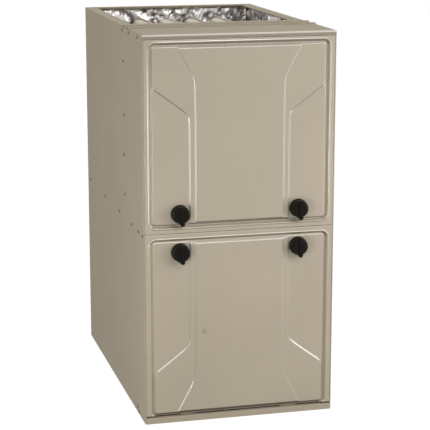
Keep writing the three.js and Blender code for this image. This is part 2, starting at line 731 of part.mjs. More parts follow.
// Condensate trap: upright moulded chambers with an outlet to the side of the casing.
function condensateTrap() {
  const outline = [
    ...arc(170, 458, 5, 180, 270, 2), ...arc(202, 458, 5, 270, 360, 2),
    [207, 520], [191, 528], [191, 548], [165, 548],
  ];
  const body = prism(outline, 'y', 150, 205);
  const ribs = [162, 190].map((y) => prism(inset(outline, -2), 'y', y, y + 3));
  const stub = rod(DRAIN.r, 'x', [DRAIN.y, DRAIN.z], 200, 220, 12);
  const bore = rod(DRAIN.r - 2, 'x', [DRAIN.y, DRAIN.z], 190, 225, 12);
  const inlet = rod(3.6, 'x', [DRAIN.y + 10, 482], 150, 168, 10);
  return cut(join([body, ...ribs, stub, inlet]), [bore]);
}

// ---- blower -------------------------------------------------------------------------------

function blowerHousing() {
  const spiral = volute(BLOWER.y, BLOWER.z, 143, NECK.back - BLOWER.y, 104, 360, 18);
  const top = SHELF_Z - SHEET - GAP;
  const outline = [...spiral, [NECK.back, top], [NECK.front, top]];
  const wall = 1.5;
  const half = SCROLL_HALF_W;
  const inner = inset(outline, wall);
  const mouth = [
    [NECK.front + wall, top - 40], [NECK.back - wall, top - 40],
    [NECK.back - wall, top + 5], [NECK.front + wall, top + 5],
  ];
  const rim = box([-half - 20, half + 20], [NECK.front - 18, NECK.back + 18], [top - wall, top]);
  const bell = (side) => {
    const edge = side * half;
    const profile = [
      [100, edge], [106, edge], [106, edge - side * 4], [103, edge - side * 9], [100, edge - side * 9],
      [100, edge],
    ];
    return turned(profile, 'x', [BLOWER.y, BLOWER.z], 28);
  };
  const shell = join([prism(outline, 'x', -half, half), rim]);
  const open = cut(shell, [
    prism(inner, 'x', -half + wall, half - wall),
    prism(mouth, 'x', -half + wall, half - wall),
    rod(103, 'x', [BLOWER.y, BLOWER.z], -half - 5, half + 5, 28),
  ]);
  return join([open, bell(-1), bell(1)]);
}

// Squirrel cage wheel: two rings and a centre disc carry forward-curved blades.
const WHEEL_BLADES = 32;

function blowerWheel() {
  const centre = [BLOWER.y, BLOWER.z];
  const { r, halfW } = BLOWER;
  const blades = Array.from({ length: WHEEL_BLADES }, (_, i) => {
    const outline = spin(blade(r - 22, r - 1, 9, 1.6, 2), (i * 360) / WHEEL_BLADES);
    return prism(around(outline, ...centre), 'x', -halfW + 2, halfW - 2);
  });
  const ring = (side) => turned([
    [r - 9, side * halfW], [r, side * halfW], [r, side * (halfW - 5)], [r - 9, side * (halfW - 5)],
    [r - 9, side * halfW],
  ], 'x', centre, 32);
  const disc = turned([
    [0, -14], [14, -14], [14, -3], [30, -1], [r, -1], [r, 1], [30, 1], [14, 8], [0, 8],
  ], 'x', centre, 32);
  const bore = rod(6.65, 'x', centre, -20, 12, 12);
  return cut(join([disc, ring(-1), ring(1), ...blades]), [bore]);
}

const blowerShaft = () => turned([
  [0, -22], [5.6, -22], [6.3, -21], [6.3, 50], [0, 50],
], 'x', [BLOWER.y, BLOWER.z], 12);

function blowerMotor() {
  const centre = [BLOWER.y, BLOWER.z];
  const can = turned([
    [0, 20], [18, 20], [24, 24], [58, 28], [66, 36], [66, 104], [58, 112], [24, 116], [0, 116],
  ], 'x', centre, 24);
  return cut(can, [rod(6.8, 'x', centre, 15, 54, 12)]);
}

// Motor bracket: a band round the motor with three arms out to the housing.
function motorBracket() {
  const band = turned([
    [66.4, 84], [68.4, 84], [68.4, 100], [66.4, 100], [66.4, 84],
  ], 'x', [BLOWER.y, BLOWER.z], 24);
  const arms = [90, 210, 330].map((angle) => {
    const centre = [BLOWER.y, BLOWER.z];
    const arm = around(spin([[67.5, -7], [120, -7], [120, 7], [67.5, 7]], angle), ...centre);
    const root = around(spin([[67.2, -7], [69.5, -7], [69.5, 7], [67.2, 7]], angle), ...centre);
    return join([
      prism(arm, 'x', SCROLL_HALF_W + GAP, SCROLL_HALF_W + GAP + 2.5),
      prism(root, 'x', 98, SCROLL_HALF_W + GAP + 2.5),
    ]);
  });
  return join([band, ...arms]);
}

// ---- controls -----------------------------------------------------------------------------

function controlTray() {
  const line = [[96, 444.4], [119, 444.4], [119, 292], [108, 292]];
  return prism(sheet(line, SHEET), 'x', -200, 70);
}

function controlBoard() {
  const y = 108;
  const component = (x, z, depth) => box(x, [y - depth, y + 0.8], z);
  return join([
    box([-190, -40], [y, y + 1.6], [304, 430]),
    component([-182, -160], [398, 422], 16), component([-154, -132], [398, 422], 16),
    component([-126, -104], [398, 422], 16), component([-180, -60], [308, 320], 11),
    component([-96, -78], [400, 420], 24), component([-178, -166], [340, 380], 9),
    component([-140, -112], [350, 372], 5), component([-96, -56], [340, 346], 8),
    rod(8, 'y', [-68, 374], y - 18, y + 0.8, 12),
    ...[[-184, 310], [-46, 310], [-184, 424], [-46, 424]].map(([x, z]) => (
      rod(3, 'y', [x, z], y + 0.8, 117.3, 6)
    )),
  ]);
}

function transformer() {
  const back = 117.4;
  return join([
    box([2, 58], [72, back - 6], [330, 378]),
    loft([
      [back - 6.5, roundedRect(10, 50, 340, 368, 4, 2)], [back, roundedRect(10, 50, 340, 368, 4, 2)],
    ], 'y'),
    box([12, 48], [64, 120 - 10], [338, 370]),
    box([-8, 68], [back - 2, back], [346, 362]),
  ]);
}

function doorSwitch() {
  const { x, z } = DOOR_SWITCH;
  const body = join([
    box([x - 9, x + 9], [30.3, 58], [z - 12, z + 7]),
    box([x - 18, x + 18], [30.3, 32], [z - 8, z + 6]),
    box([x - 5, x - 3], [57, 66], [z - 6, z + 2]),
    box([x + 3, x + 5], [57, 66], [z - 6, z + 2]),
  ]);
  return cut(body, [rod(3.8, 'y', [x, z], 25, 52, 12)]);
}

const doorSwitchPlunger = () => turned([
  [0, 24.4], [2.2, 24.4], [3, 25.4], [3, 44], [0, 44],
], 'y', [DOOR_SWITCH.x, DOOR_SWITCH.z], 12);

// ---- doors --------------------------------------------------------------------------------

// The front of a door is pressed in terraces: a groove inside a flat rim, then a side field,
// a narrow strip and a centre field, each a step higher. t runs from the casing's own end
// (its top for the upper door, the floor for the lower one) towards the joint of the doors.
const GROOVE_DEPTH = 6.75;
const STEP_UP = 2.25; // height of one terrace over the last
const SLOPE = 1.75; // run of a slope per unit of height
const GROOVE_RUN = 3.5;
const GROOVE_FLOOR = 1.5;
const SIDE_RIM = 12;
const SPLIT_RIM = 13.5;
const FIELD = { // crests, measured from the cabinet's side and end
  stripX: 107, stripKneeT: 179, stripEndT: 115,
  centreX: 120, centreKneeT: 101, centreEndX: 78,
};

function doorTerraces(farT, farRim, nearT) {
  const edge = SIDE_RIM + GROOVE_RUN + GROOVE_FLOOR;
  const floor = {
    half: DOOR_HALF_W - edge,
    far: farT + farRim + GROOVE_RUN + GROOVE_FLOOR,
    near: nearT - SPLIT_RIM - GROOVE_RUN - GROOVE_FLOOR,
  };
  const corner = 9;
  const farCorner = (sign, order) => {
    const points = arc(floor.half - corner, -(floor.far + corner), corner, 0, 90, 3);
    const placed = points.map(([x, t]) => [sign * x, -t]);
    return order ? placed : placed.reverse();
  };
  const mirror = (right) => [...right, ...right.map(([x, t]) => [-x, t]).reverse()];
  const all = roundedRect(-floor.half, floor.half, floor.far, floor.near, corner);
  const spread = (height) => SLOPE * (height - STEP_UP / 2); // floor line ahead of the crest
  const strip = 2 * STEP_UP;
  const centre = 3 * STEP_UP;
  const stripX = HALF_W - FIELD.stripX + spread(strip);
  const centreX = HALF_W - FIELD.centreX + spread(centre);
  const stripOutline = mirror([
    ...farCorner(1, false), [floor.half, FIELD.stripEndT + spread(strip)],
    [stripX, FIELD.stripKneeT + spread(strip)], [stripX, floor.near],
  ]);
  const centreOutline = mirror([
    [HALF_W - FIELD.centreEndX + spread(centre), floor.far],
    [centreX, FIELD.centreKneeT], [centreX, floor.near],
  ]);
  return {
    pocket: roundedRect(
      -floor.half - GROOVE_FLOOR, floor.half + GROOVE_FLOOR,
      floor.far - GROOVE_FLOOR, floor.near + GROOVE_FLOOR, corner + GROOVE_FLOOR,
    ),
    fields: [[all, STEP_UP], [stripOutline, strip], [centreOutline, centre]],
  };
}

// Solid with the pressed face in front, from the face at y = lift back to y = depth.
function pressedBlock(outline, terraces, toZ, lift, depth, bend) {
  const map = (points) => points.map(([x, t]) => [x, toZ(t)]);
  const rounded = bend > 0
    ? [[lift, inset(outline, bend)], [lift + 0.3 * bend, inset(outline, 0.3 * bend)], [lift + bend, outline]]
    : [[lift, outline]];
  const block = loft([...rounded, [depth, outline]].map(([y, points]) => [y, map(points)]), 'y');
  const floorY = lift + GROOVE_DEPTH;
  const slope = GROOVE_RUN / GROOVE_DEPTH;
  const pocket = loft([
    [lift - 1, map(inset(terraces.pocket, -GROOVE_RUN - slope))],
    [floorY, map(terraces.pocket)],
  ], 'y');
  const fields = terraces.fields.map(([points, height]) => loft([
    [floorY + 1, map(points)], [floorY, map(points)],
    [floorY - height, map(inset(points, SLOPE * height))],
  ], 'y'));
  return join([cut(block, [pocket]), ...fields]);
}

// Door: pressed skin with returns on all four sides and a turned-in flange at the joint.
function door({ farT, nearT, farRim, toZ, hooks, holes }) {
  const outline = [
    [-DOOR_HALF_W, farT], [DOOR_HALF_W, farT], [DOOR_HALF_W, nearT], [-DOOR_HALF_W, nearT],
  ];
  const terraces = doorTerraces(farT, farRim, nearT);
  const outer = pressedBlock(outline, terraces, toZ, 0, DOOR_DEPTH, 1.2);
  const inner = pressedBlock(inset(outline, DOOR_SHEET), terraces, toZ, DOOR_SHEET, DOOR_DEPTH + 5, 0);
  const zRange = (a, b) => [toZ(a), toZ(b)].sort((p, q) => p - q);
  const flange = box(
    [-DOOR_HALF_W + 6, DOOR_HALF_W - 6], [DOOR_DEPTH - DOOR_SHEET, DOOR_DEPTH], zRange(nearT - 26, nearT - 0.5),
  );
  const tabs = [-120, 120].map((x) => (
    box([x - 18, x + 18], hooks.y, zRange(farT + 0.6, farT - hooks.reach))
  ));
  return cut(join([cut(outer, [inner]), flange, ...tabs]), holes);
}

const KNOB_X = HALF_W - KNOB_FROM_SIDE;
const knobHoles = (z) => [-KNOB_X, KNOB_X].map((x) => rod(STEM_R + 0.8, 'y', [x, z], -1, 10, 12));
const UPPER_KNOB_Z = SPLIT_Z + KNOB_FROM_SPLIT;
const LOWER_KNOB_Z = SPLIT_Z - KNOB_FROM_SPLIT;
const PLUG = { x: 140 - HALF_W, z: 212 };

const upperDoor = () => door({
  farT: CASE_H - UPPER_TOP,
  nearT: CASE_H - SPLIT_Z - SPLIT_GAP / 2,
  farRim: 8,
  toZ: (t) => CASE_H - t,
  hooks: { y: [4, 5.2], reach: 6 },
  holes: knobHoles(UPPER_KNOB_Z),
});

const lowerDoor = () => door({
  farT: LOWER_BOTTOM,
  nearT: SPLIT_Z - SPLIT_GAP / 2,
  farRim: 3,
  toZ: (t) => t,
  hooks: { y: [9.5, 10.7], reach: 8 },
  holes: [...knobHoles(LOWER_KNOB_Z), rod(3.4, 'y', [PLUG.x, PLUG.z], -5, 10, 10)],
});

const doorPlug = () => turned([
  [0, -2.4], [2.6, -2.1], [4.8, -1.2], [5.6, -GAP], [2.8, -GAP], [2.8, 3], [3.1, 4.5], [0, 5],
], 'y', [PLUG.x, PLUG.z], 12);

// Quarter-turn knob: skirt, domed body with a pointer and a finger bar, and its stem.
const FIELD_Y = GROOVE_DEPTH - STEP_UP; // face of the side field
function knob(x, z) {
  const back = FIELD_Y - GAP;
  const body = turned([
    [0, -17.2], [14, -17], [17.6, -15.8], [19.4, -13.5], [KNOB_R, -9], [KNOB_R, -1],
    [KNOB_R + 1.2, 0.2], [KNOB_R + 1.2, back], [0, back],
  ], 'y', [x, z], 20);
  const lean = THREE.MathUtils.degToRad(-82);
  const tip = [x + 21 * Math.cos(lean), z + 21 * Math.sin(lean)];
  const pointer = loft([
    [-15, circle(4, 8, ...tip)], [-13, circle(5.2, 8, ...tip)], [-1, circle(5.6, 8, ...tip)],
  ], 'y');
  const bar = loft([
    [-KNOB_PROUD, roundedRect(x - 2.6, x + 2.6, z - 14, z + 14, 2.4, 2)],
    [-16, roundedRect(x - 4, x + 4, z - 16.5, z + 16.5, 3.6, 2)],
  ], 'y');
  const stem = turned([
    [0, 0], [STEM_R, 0], [STEM_R, CAM_Y + CAM_T + 0.8], [7, CAM_Y + CAM_T + 0.8],
    [7, CAM_Y + CAM_T + 3], [0, CAM_Y + CAM_T + 3],
  ], 'y', [x, z], 12);
  return join([body, pointer, bar, stem]);
}

// Latch cam: a steel finger on the stem that turns behind the centre rail.
function latchCam(x, z) {
  const out = Math.sign(x);
  const outline = [
    ...arc(0, 0, 9, 90, 270, 6),
    ...arc(CAM_REACH - 5, 0, 5, -90, 90, 4),
  ].map(([u, v]) => [x + out * u, z + v]);
  const plate = prism(outline, 'y', CAM_Y, CAM_Y + CAM_T);
  return cut(plate, [rod(STEM_R + GAP, 'y', [x, z], CAM_Y - 5, CAM_Y + 8, 12)]);
}

// ---- assembly -----------------------------------------------------------------------------
add('left_side_panel', sidePanel(-1), PAINT);
add('right_side_panel', rightSidePanel(), PAINT);
add('back_panel', backPanel(), PAINT);
add('top_plate', topPlate(), PAINT);
add('base_rail', baseRail(), PAINT);
add('bottom_closure_panel', bottomClosure(), GALVANISED);
add('centre_rail', centreRail(), PAINT);
add('blower_shelf', blowerShelf(), GALVANISED);
add('cell_panel', cellPanel(), GALVANISED);

CELL_X.forEach((x, i) => add(`heat_exchanger_cell_${i + 1}`, heatExchangerCell(x), ALUMINISED));
add('condensing_coil', condensingCoil(), GALVANISED);
add('transition_box', transitionBox(), ALUMINISED);
add('collector_box', collectorBox(), PLASTIC);

const wallX = [208, HALF_W - SHEET - GAP];
const blanketY = [CELL_PANEL_Y + SHEET + GAP, CASE_D - 3.4];
add('insulation_left', insulation([-wallX[1], -wallX[0]], blanketY, CASE_H - LEG - GAP), FOIL);
add('insulation_right', insulation(wallX, blanketY, CASE_H - LEG - GAP), FOIL);
add('insulation_back', insulation([-207.5, 207.5], [708, CASE_D - 3.4], CASE_H - LEG - GAP), FOIL);

add('burner_box', burnerBox(), GALVANISED);
CELL_X.forEach((x, i) => add(`burner_${i + 1}`, burner(x), ALUMINISED));
add('gas_manifold', gasManifold(), IRON);
add('gas_valve', gasValve(), GALVANISED);
add('gas_valve_switch', gasValveSwitch(), RED);
add('igniter', igniter(), CERAMIC);
add('flame_sensor', flameSensor(), CERAMIC);
add('rollout_switch', rolloutSwitch(), PLASTIC);
add('rollout_reset_button', rolloutReset(), RED);
add('limit_switch', limitSwitch(), BRASS);

add('inducer_housing', inducerHousing(), PLASTIC);
add('inducer_wheel', inducerWheel(), ALUMINISED);
add('inducer_motor', inducerMotor(), IRON);
add('vent_tube', ventTube(), PLASTIC);
add('air_tube', airTube(), PLASTIC);
add('pressure_switch', pressureSwitch(), PLASTIC);
add('condensate_trap', condensateTrap(), PLASTIC);

add('blower_housing', blowerHousing(), GALVANISED);
add('blower_wheel', blowerWheel(), GALVANISED);
add('blower_shaft', blowerShaft(), GALVANISED);
add('blower_motor', blowerMotor(), IRON);
add('motor_bracket', motorBracket(), GALVANISED);

add('control_tray', controlTray(), GALVANISED);
add('control_board', controlBoard(), BOARD);
add('transformer', transformer(), IRON);
add('door_switch', doorSwitch(), PLASTIC);
add('door_switch_plunger', doorSwitchPlunger(), PLASTIC);

add('upper_door', upperDoor(), PAINT);
add('lower_door', lowerDoor(), PAINT);
add('lower_door_plug', doorPlug(), PAINT);
for (const [level, z] of [['upper', UPPER_KNOB_Z], ['lower', LOWER_KNOB_Z]]) {
  for (const [hand, x] of [['left', -KNOB_X], ['right', KNOB_X]]) {
    add(`${level}_${hand}_knob`, knob(x, z), BLACK);
    add(`${level}_${hand}_cam`, latchCam(x, z), GALVANISED);
  }
}

const furnace = new THREE.Group();
parts.position.y = -(CASE_D - KNOB_PROUD) / 2;
furnace.add(parts);

export default furnace;
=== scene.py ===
# Upflow gas furnace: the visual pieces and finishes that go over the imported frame.
import json
import math

import bmesh
import bpy
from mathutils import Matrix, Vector, noise


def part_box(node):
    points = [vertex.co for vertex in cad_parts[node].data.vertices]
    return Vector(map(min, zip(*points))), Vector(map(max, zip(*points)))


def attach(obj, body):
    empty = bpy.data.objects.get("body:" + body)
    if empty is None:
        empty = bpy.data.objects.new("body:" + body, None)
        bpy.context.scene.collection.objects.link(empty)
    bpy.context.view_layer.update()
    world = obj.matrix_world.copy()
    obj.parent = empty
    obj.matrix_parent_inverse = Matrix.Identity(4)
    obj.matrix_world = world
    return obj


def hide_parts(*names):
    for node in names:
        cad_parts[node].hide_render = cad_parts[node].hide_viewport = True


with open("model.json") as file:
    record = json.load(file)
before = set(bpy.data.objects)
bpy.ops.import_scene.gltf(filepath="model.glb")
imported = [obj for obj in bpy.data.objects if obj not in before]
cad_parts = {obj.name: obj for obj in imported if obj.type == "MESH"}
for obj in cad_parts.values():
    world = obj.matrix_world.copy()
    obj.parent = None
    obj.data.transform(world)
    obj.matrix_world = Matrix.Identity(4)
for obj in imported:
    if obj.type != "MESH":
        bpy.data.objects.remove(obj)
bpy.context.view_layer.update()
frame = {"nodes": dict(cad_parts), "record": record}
nodes = frame["nodes"]

# ---- Camera, lamps and floor ---------------------------------------------------------------
# The furnace stands on a white floor in a white room, seen from its front left and a little
# above through a long lens.
CAMERA_PLACE = (-0.901, -3.653, 1.241)
CAMERA_TURN = 14.32  # degrees to the right of straight on
CAMERA_DROP = 12.56  # degrees below the horizon
CAMERA_LENS = 130.1

camera = bpy.data.objects.new("camera", bpy.data.cameras.new("camera"))
bpy.context.scene.collection.objects.link(camera)
camera.data.lens = CAMERA_LENS
camera.data.sensor_width = 36.0
camera.data.clip_end = 60.0
turn, drop = math.radians(CAMERA_TURN), math.radians(CAMERA_DROP)
heading = Vector(
    (math.sin(turn) * math.cos(drop), math.cos(turn) * math.cos(drop), -math.sin(drop))
)
camera.location = CAMERA_PLACE
camera.rotation_mode = "QUATERNION"
camera.rotation_quaternion = heading.to_track_quat("-Z", "Y")
bpy.context.scene.camera = camera
bpy.context.scene.view_settings.view_transform = "Standard"


def area_lamp(name, place, target, size, power, colour=(1, 1, 1)):
    """A rectangular soft box. size is its width and height."""
    lamp = bpy.data.lights.new(name, "AREA")
    lamp.shape = "RECTANGLE"
    lamp.size, lamp.size_y = size
    lamp.energy = power
    lamp.color = colour
    lamp_object = bpy.data.objects.new(name, lamp)
    bpy.context.scene.collection.objects.link(lamp_object)
    lamp_object.location = place
    lamp_object.visible_camera = False
    aim = Vector(target) - Vector(place)
    lamp_object.rotation_mode = "QUATERNION"
    lamp_object.rotation_quaternion = aim.to_track_quat("-Z", "Y")


area_lamp("left_strip", (-1.0, -1.35, 0.4), (0, -0.35, 0.5), (0.26, 0.5), 6.6, (1, 1, 0.95))
area_lamp("front_high", (0.9, -3.3, 3.5), (0, -0.35, 0.7), (0.6, 0.45), 30)
area_lamp("right_soft", (1.0, -1.1, 0.65), (0.1, -0.35, 0.5), (0.5, 1.0), 8.6)
area_lamp("overhead", (0.1, 0.3, 2.6), (0, 0.2, 0.9), (1.2, 1.2), 11, (1, 0.99, 0.92))
area_lamp("side_soft", (-2.2, 0.2, 0.9), (-0.22, 0, 0.5), (0.9, 0.9), 5.8, (1, 0.98, 0.87))

ROOM_LIGHT = 0.26
world = bpy.data.worlds.new("white_room")
bpy.context.scene.world = world
world.use_nodes = True
room = world.node_tree
seen = room.nodes.new("ShaderNodeLightPath")
camera_or_gloss = room.nodes.new("ShaderNodeMath")
camera_or_gloss.operation = "MAXIMUM"
room.links.new(seen.outputs["Is Camera Ray"], camera_or_gloss.inputs[0])
room.links.new(seen.outputs["Is Glossy Ray"], camera_or_gloss.inputs[1])
any_view = room.nodes.new("ShaderNodeMath")
any_view.operation = "MAXIMUM"
room.links.new(camera_or_gloss.outputs[0], any_view.inputs[0])
room.links.new(seen.outputs["Is Transmission Ray"], any_view.inputs[1])
strength = room.nodes.new("ShaderNodeMapRange")
room.links.new(any_view.outputs[0], strength.inputs["Value"])
strength.inputs["To Min"].default_value = ROOM_LIGHT
strength.inputs["To Max"].default_value = 1.0
room.links.new(strength.outputs[0], room.nodes["Background"].inputs["Strength"])
room.nodes["Background"].inputs["Color"].default_value = (1, 1, 1, 1)

FLOOR_RADIUS = 14
FLOOR_GREY, FLOOR_ROUGHNESS = 0.9, 0.8
FLOOR_GLOW_SHARE = 0.86
FLOOR_GLOW_UNSEEN, FLOOR_GLOW_SEEN = 0.3, 1.12  # what it gives the furnace, and the lens
bpy.ops.mesh.primitive_circle_add(vertices=64, radius=FLOOR_RADIUS, fill_type="NGON")
floor = bpy.context.object
floor.name = "studio_floor"
floor_look = bpy.data.materials.new("white_floor")
floor_look.use_nodes = True
laid = floor_look.node_tree
floor_paint = laid.nodes["Principled BSDF"]
floor_paint.inputs["Base Color"].default_value = (FLOOR_GREY, FLOOR_GREY, FLOOR_GREY, 1)
floor_paint.inputs["Roughness"].default_value = FLOOR_ROUGHNESS
glow = laid.nodes.new("ShaderNodeEmission")
blend = laid.nodes.new("ShaderNodeMixShader")
blend.inputs[0].default_value = FLOOR_GLOW_SHARE
laid.links.new(floor_paint.outputs[0], blend.inputs[1])
laid.links.new(glow.outputs[0], blend.inputs[2])
path = laid.nodes.new("ShaderNodeLightPath")
shown = laid.nodes.new("ShaderNodeMath")
shown.operation = "MAXIMUM"
laid.links.new(path.outputs["Is Camera Ray"], shown.inputs[0])
laid.links.new(path.outputs["Is Glossy Ray"], shown.inputs[1])
glow_strength = laid.nodes.new("ShaderNodeMapRange")
laid.links.new(shown.outputs[0], glow_strength.inputs["Value"])
glow_strength.inputs["To Min"].default_value = FLOOR_GLOW_UNSEEN
glow_strength.inputs["To Max"].default_value = FLOOR_GLOW_SEEN
laid.links.new(glow_strength.outputs[0], glow.inputs["Strength"])
laid.links.new(blend.outputs[0], laid.nodes["Material Output"].inputs["Surface"])
floor.data.materials.append(floor_look)


# ---- Casing sheets -------------------------------------------------------------------------
# The side, back and top sheets are roll-formed steel about a millimetre thick, coated before
# forming with a satin beige enamel that has a very fine texture. Bends are tight, not sharp.
class Wire:
    """A shader socket that takes part in sums."""

    def __init__(self, finish, socket):
        self.finish = finish
        self.socket = socket

    def sum(self, operation, left, right):
        return self.finish.node("ShaderNodeMath", {"operation": operation}, {0: left, 1: right})

    def __add__(self, other):
        return self.sum("ADD", self, other)

    __radd__ = __add__

    def __sub__(self, other):
        return self.sum("SUBTRACT", self, other)

    def __rsub__(self, other):
        return self.sum("SUBTRACT", other, self)

    def __mul__(self, other):
        return self.sum("MULTIPLY", self, other)

    __rmul__ = __mul__


class Finish:
    """A material, with its shader's fixed values and the nodes that vary over the surface."""

    def __init__(self, name, **fixed):
        self.material = bpy.data.materials.new(name)
        self.material.use_nodes = True
        self.shader = self.material.node_tree.nodes["Principled BSDF"]
        for socket, value in fixed.items():
            self.feed(socket.replace("_", " ").title().replace("Ior", "IOR"), value)
        self.place = self.node("ShaderNodeTexCoord", {}, {}, "Object")
        self.ground = None  # the colour under the painted highlight and shade a piece adds

    def node(self, kind, settings, sockets, output=0):
        made = self.material.node_tree.nodes.new(kind)
        for key, value in settings.items():
            if key == "stops":
                self.set_stops(made.color_ramp, value)
            else:
                setattr(made, key, value)
        for key, value in sockets.items():
            self.connect(made.inputs[key], value)
        return Wire(self, made.outputs[output])

    def connect(self, socket, value):
        if isinstance(value, Wire):
            self.material.node_tree.links.new(value.socket, socket)
        else:
            socket.default_value = (*value, 1) if self.is_colour(socket, value) else value

    def is_colour(self, socket, value):
        return socket.type == "RGBA" and len(value) == 3

    def set_stops(self, ramp, stops):
        while len(ramp.elements) < len(stops):
            ramp.elements.new(0.5)
        for element, (place, grey) in zip(ramp.elements, stops):
            element.position = place
            element.color = (grey, grey, grey, 1)

    def feed(self, socket, value):
        self.connect(self.shader.inputs[socket], value)

    def along(self, axis):
        """Where a point lies along one axis of the furnace."""
        return self.node("ShaderNodeSeparateXYZ", {}, {"Vector": self.place}, axis)

    def facing(self, axis):
        """How far the surface faces along one axis, -1 to 1."""
        normal = self.node("ShaderNodeTexCoord", {}, {}, "Normal")
        return self.node("ShaderNodeSeparateXYZ", {}, {"Vector": normal}, axis)

    def stretched(self, stretch):
        return self.node("ShaderNodeMapping", {}, {"Vector": self.place, "Scale": stretch})

    def noise(self, scale, detail=3.0, roughness=0.5, stretch=(1, 1, 1), warp=0.0):
        return self.node(
            "ShaderNodeTexNoise",
            {},
            {
                "Vector": self.stretched(stretch),
                "Scale": scale,
                "Detail": detail,
                "Roughness": roughness,
                "Distortion": warp,
            },
        )

    def cells(self, scale, feature="F1", output="Distance", stretch=(1, 1, 1)):
        return self.node(
            "ShaderNodeTexVoronoi",
            {"feature": feature},
            {"Vector": self.stretched(stretch), "Scale": scale},
            output,
        )

    def ramp(self, wire, *stops):
        return self.node("ShaderNodeValToRGB", {"stops": stops}, {"Fac": wire})

    def mix(self, factor, low, high):
        return self.node(
            "ShaderNodeMix", {"data_type": "RGBA"}, {0: factor, 6: low, 7: high}, 2
        )

    def bump(self, height, distance, strength=1.0):
        return self.node(
            "ShaderNodeBump", {}, {"Height": height, "Distance": distance, "Strength": strength}
        )


BEIGE_LIGHT = (0.462, 0.396, 0.299)
BEIGE_DARK = (0.436, 0.372, 0.279)


def baked_enamel(name, low_roughness, **fixed):
    """The casing's paint, a little glossier or duller."""
    paint = Finish(name, metallic=0.0, **fixed)
    cloudy = paint.noise(5, 4)
    speck = paint.noise(1400, 2)
    tone = paint.ramp(cloudy, (0.35, 0), (0.7, 1))
    paint.ground = paint.mix(tone, BEIGE_DARK, BEIGE_LIGHT)
    paint.feed("Base Color", paint.ground)
    paint.feed("Roughness", low_roughness + 0.06 * cloudy + 0.05 * speck)
    paint.feed("Normal", paint.bump(speck, 0.00005, 0.5))
    return paint


enamel = baked_enamel("beige_enamel", low_roughness=0.5, specular_ior_level=0.08)

body_of = {n: body for body, names in frame["record"]["behaviour"]["bodies"].items() for n in names}


def paint_node(name, finish):
    """Puts a finish on a frame piece whose shape is right as it is."""
    for entry in nodes[name].material_slots:
        entry.material = finish.material


def add_piece(name, mesh, finish, body):
    """Adds a finished mesh in the row frame, riding on its body."""
    piece = bpy.data.objects.new(name, mesh)
    bpy.context.scene.collection.objects.link(piece)
    mesh.materials.clear()
    mesh.materials.append(finish.material)
    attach(piece, body)
    return piece


def flat_faces(piece):
    """Shades large faces flat and their rounded edges smoothly."""
    for face in piece.data.polygons:
        face.use_smooth = True
    weighted = piece.modifiers.new("flat_faces", "WEIGHTED_NORMAL")
    weighted.weight = 100
    weighted.keep_sharp = True


SAME_POINT = 2e-6
SAME_FACE = 0.6  # degrees


def round_edges(name, finish, width, segments=2, sharper_than=25):
    """A merged copy of a frame piece with rounded edges, which stands for it."""
    mesh = nodes[name].data.copy()
    shape = bmesh.new()
    shape.from_mesh(mesh)
    bmesh.ops.remove_doubles(shape, verts=shape.verts, dist=SAME_POINT)
    bmesh.ops.dissolve_limit(
        shape, angle_limit=math.radians(SAME_FACE), verts=shape.verts, edges=shape.edges
    )
    edges = [
        edge
        for edge in shape.edges
        if len(edge.link_faces) == 2 and edge.calc_face_angle(0) > math.radians(sharper_than)
    ]
    bmesh.ops.bevel(
        shape,
        geom=edges,
        offset=width,
        segments=segments,
        profile=0.5,
        affect="EDGES",
        clamp_overlap=True,
    )
    shape.to_mesh(mesh)
    shape.free()
    piece = add_piece(name + "_dressed", mesh, finish, body_of[name])
    flat_faces(piece)
    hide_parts(name)


for sheet_name in ("left_side_panel", "right_side_panel", "back_panel"):
    round_edges(sheet_name, enamel, 0.0005)

# The front bend of the top plate was rolled over a polished die, so the enamel is glossier
# there. A painted highlight lies on the crest of the bend and painted shade on the face under it.
DOOR_FACE_Y = -0.352  # plane of the lip and of the doors' rims
LIP_REACH = 0.02  # depth over which the lip's tones change
# Colours of the painted highlight and the painted shade on the lip and the doors.
BEIGE_PAINTED_HIGHLIGHT = (0.86, 0.80, 0.71)
BEIGE_PAINTED_SHADE = (0.10, 0.08, 0.06)
lip_enamel = baked_enamel(
    "lip_enamel", low_roughness=0.5, specular_ior_level=0.08, coat_roughness=0.14
)
behind_lip = (lip_enamel.along("Y") - DOOR_FACE_Y) * (1 / LIP_REACH)
lip_enamel.feed("Coat Weight", lip_enamel.ramp(behind_lip, (0.2, 1), (0.42, 0)))
faces_front = 0.0 - lip_enamel.facing("Y")
# Painted shade: the lip's face, which looks to the front, is darkened in its colour.
lip_face_shade = lip_enamel.ramp(faces_front, (0.85, 0), (1.0, 0.42))
at_lip = lip_enamel.ramp(behind_lip, (0.3, 1), (0.5, 0))
# Painted highlight: the crest of the lip's bend is paled in its colour.
lip_crest_highlight = lip_enamel.ramp(
    at_lip * lip_enamel.facing("Z") * faces_front, (0.05, 0), (0.4, 1)
)
lip_shaded_ground = lip_enamel.mix(lip_face_shade, lip_enamel.ground, BEIGE_PAINTED_SHADE)
lip_enamel.feed("Base Color", lip_enamel.mix(lip_crest_highlight, lip_shaded_ground, BEIGE_PAINTED_HIGHLIGHT))
round_edges("top_plate", lip_enamel, 0.0016, segments=3, sharper_than=12)
round_edges("base_rail", enamel, 0.0008, segments=3, sharper_than=20)
paint_node("centre_rail", enamel)

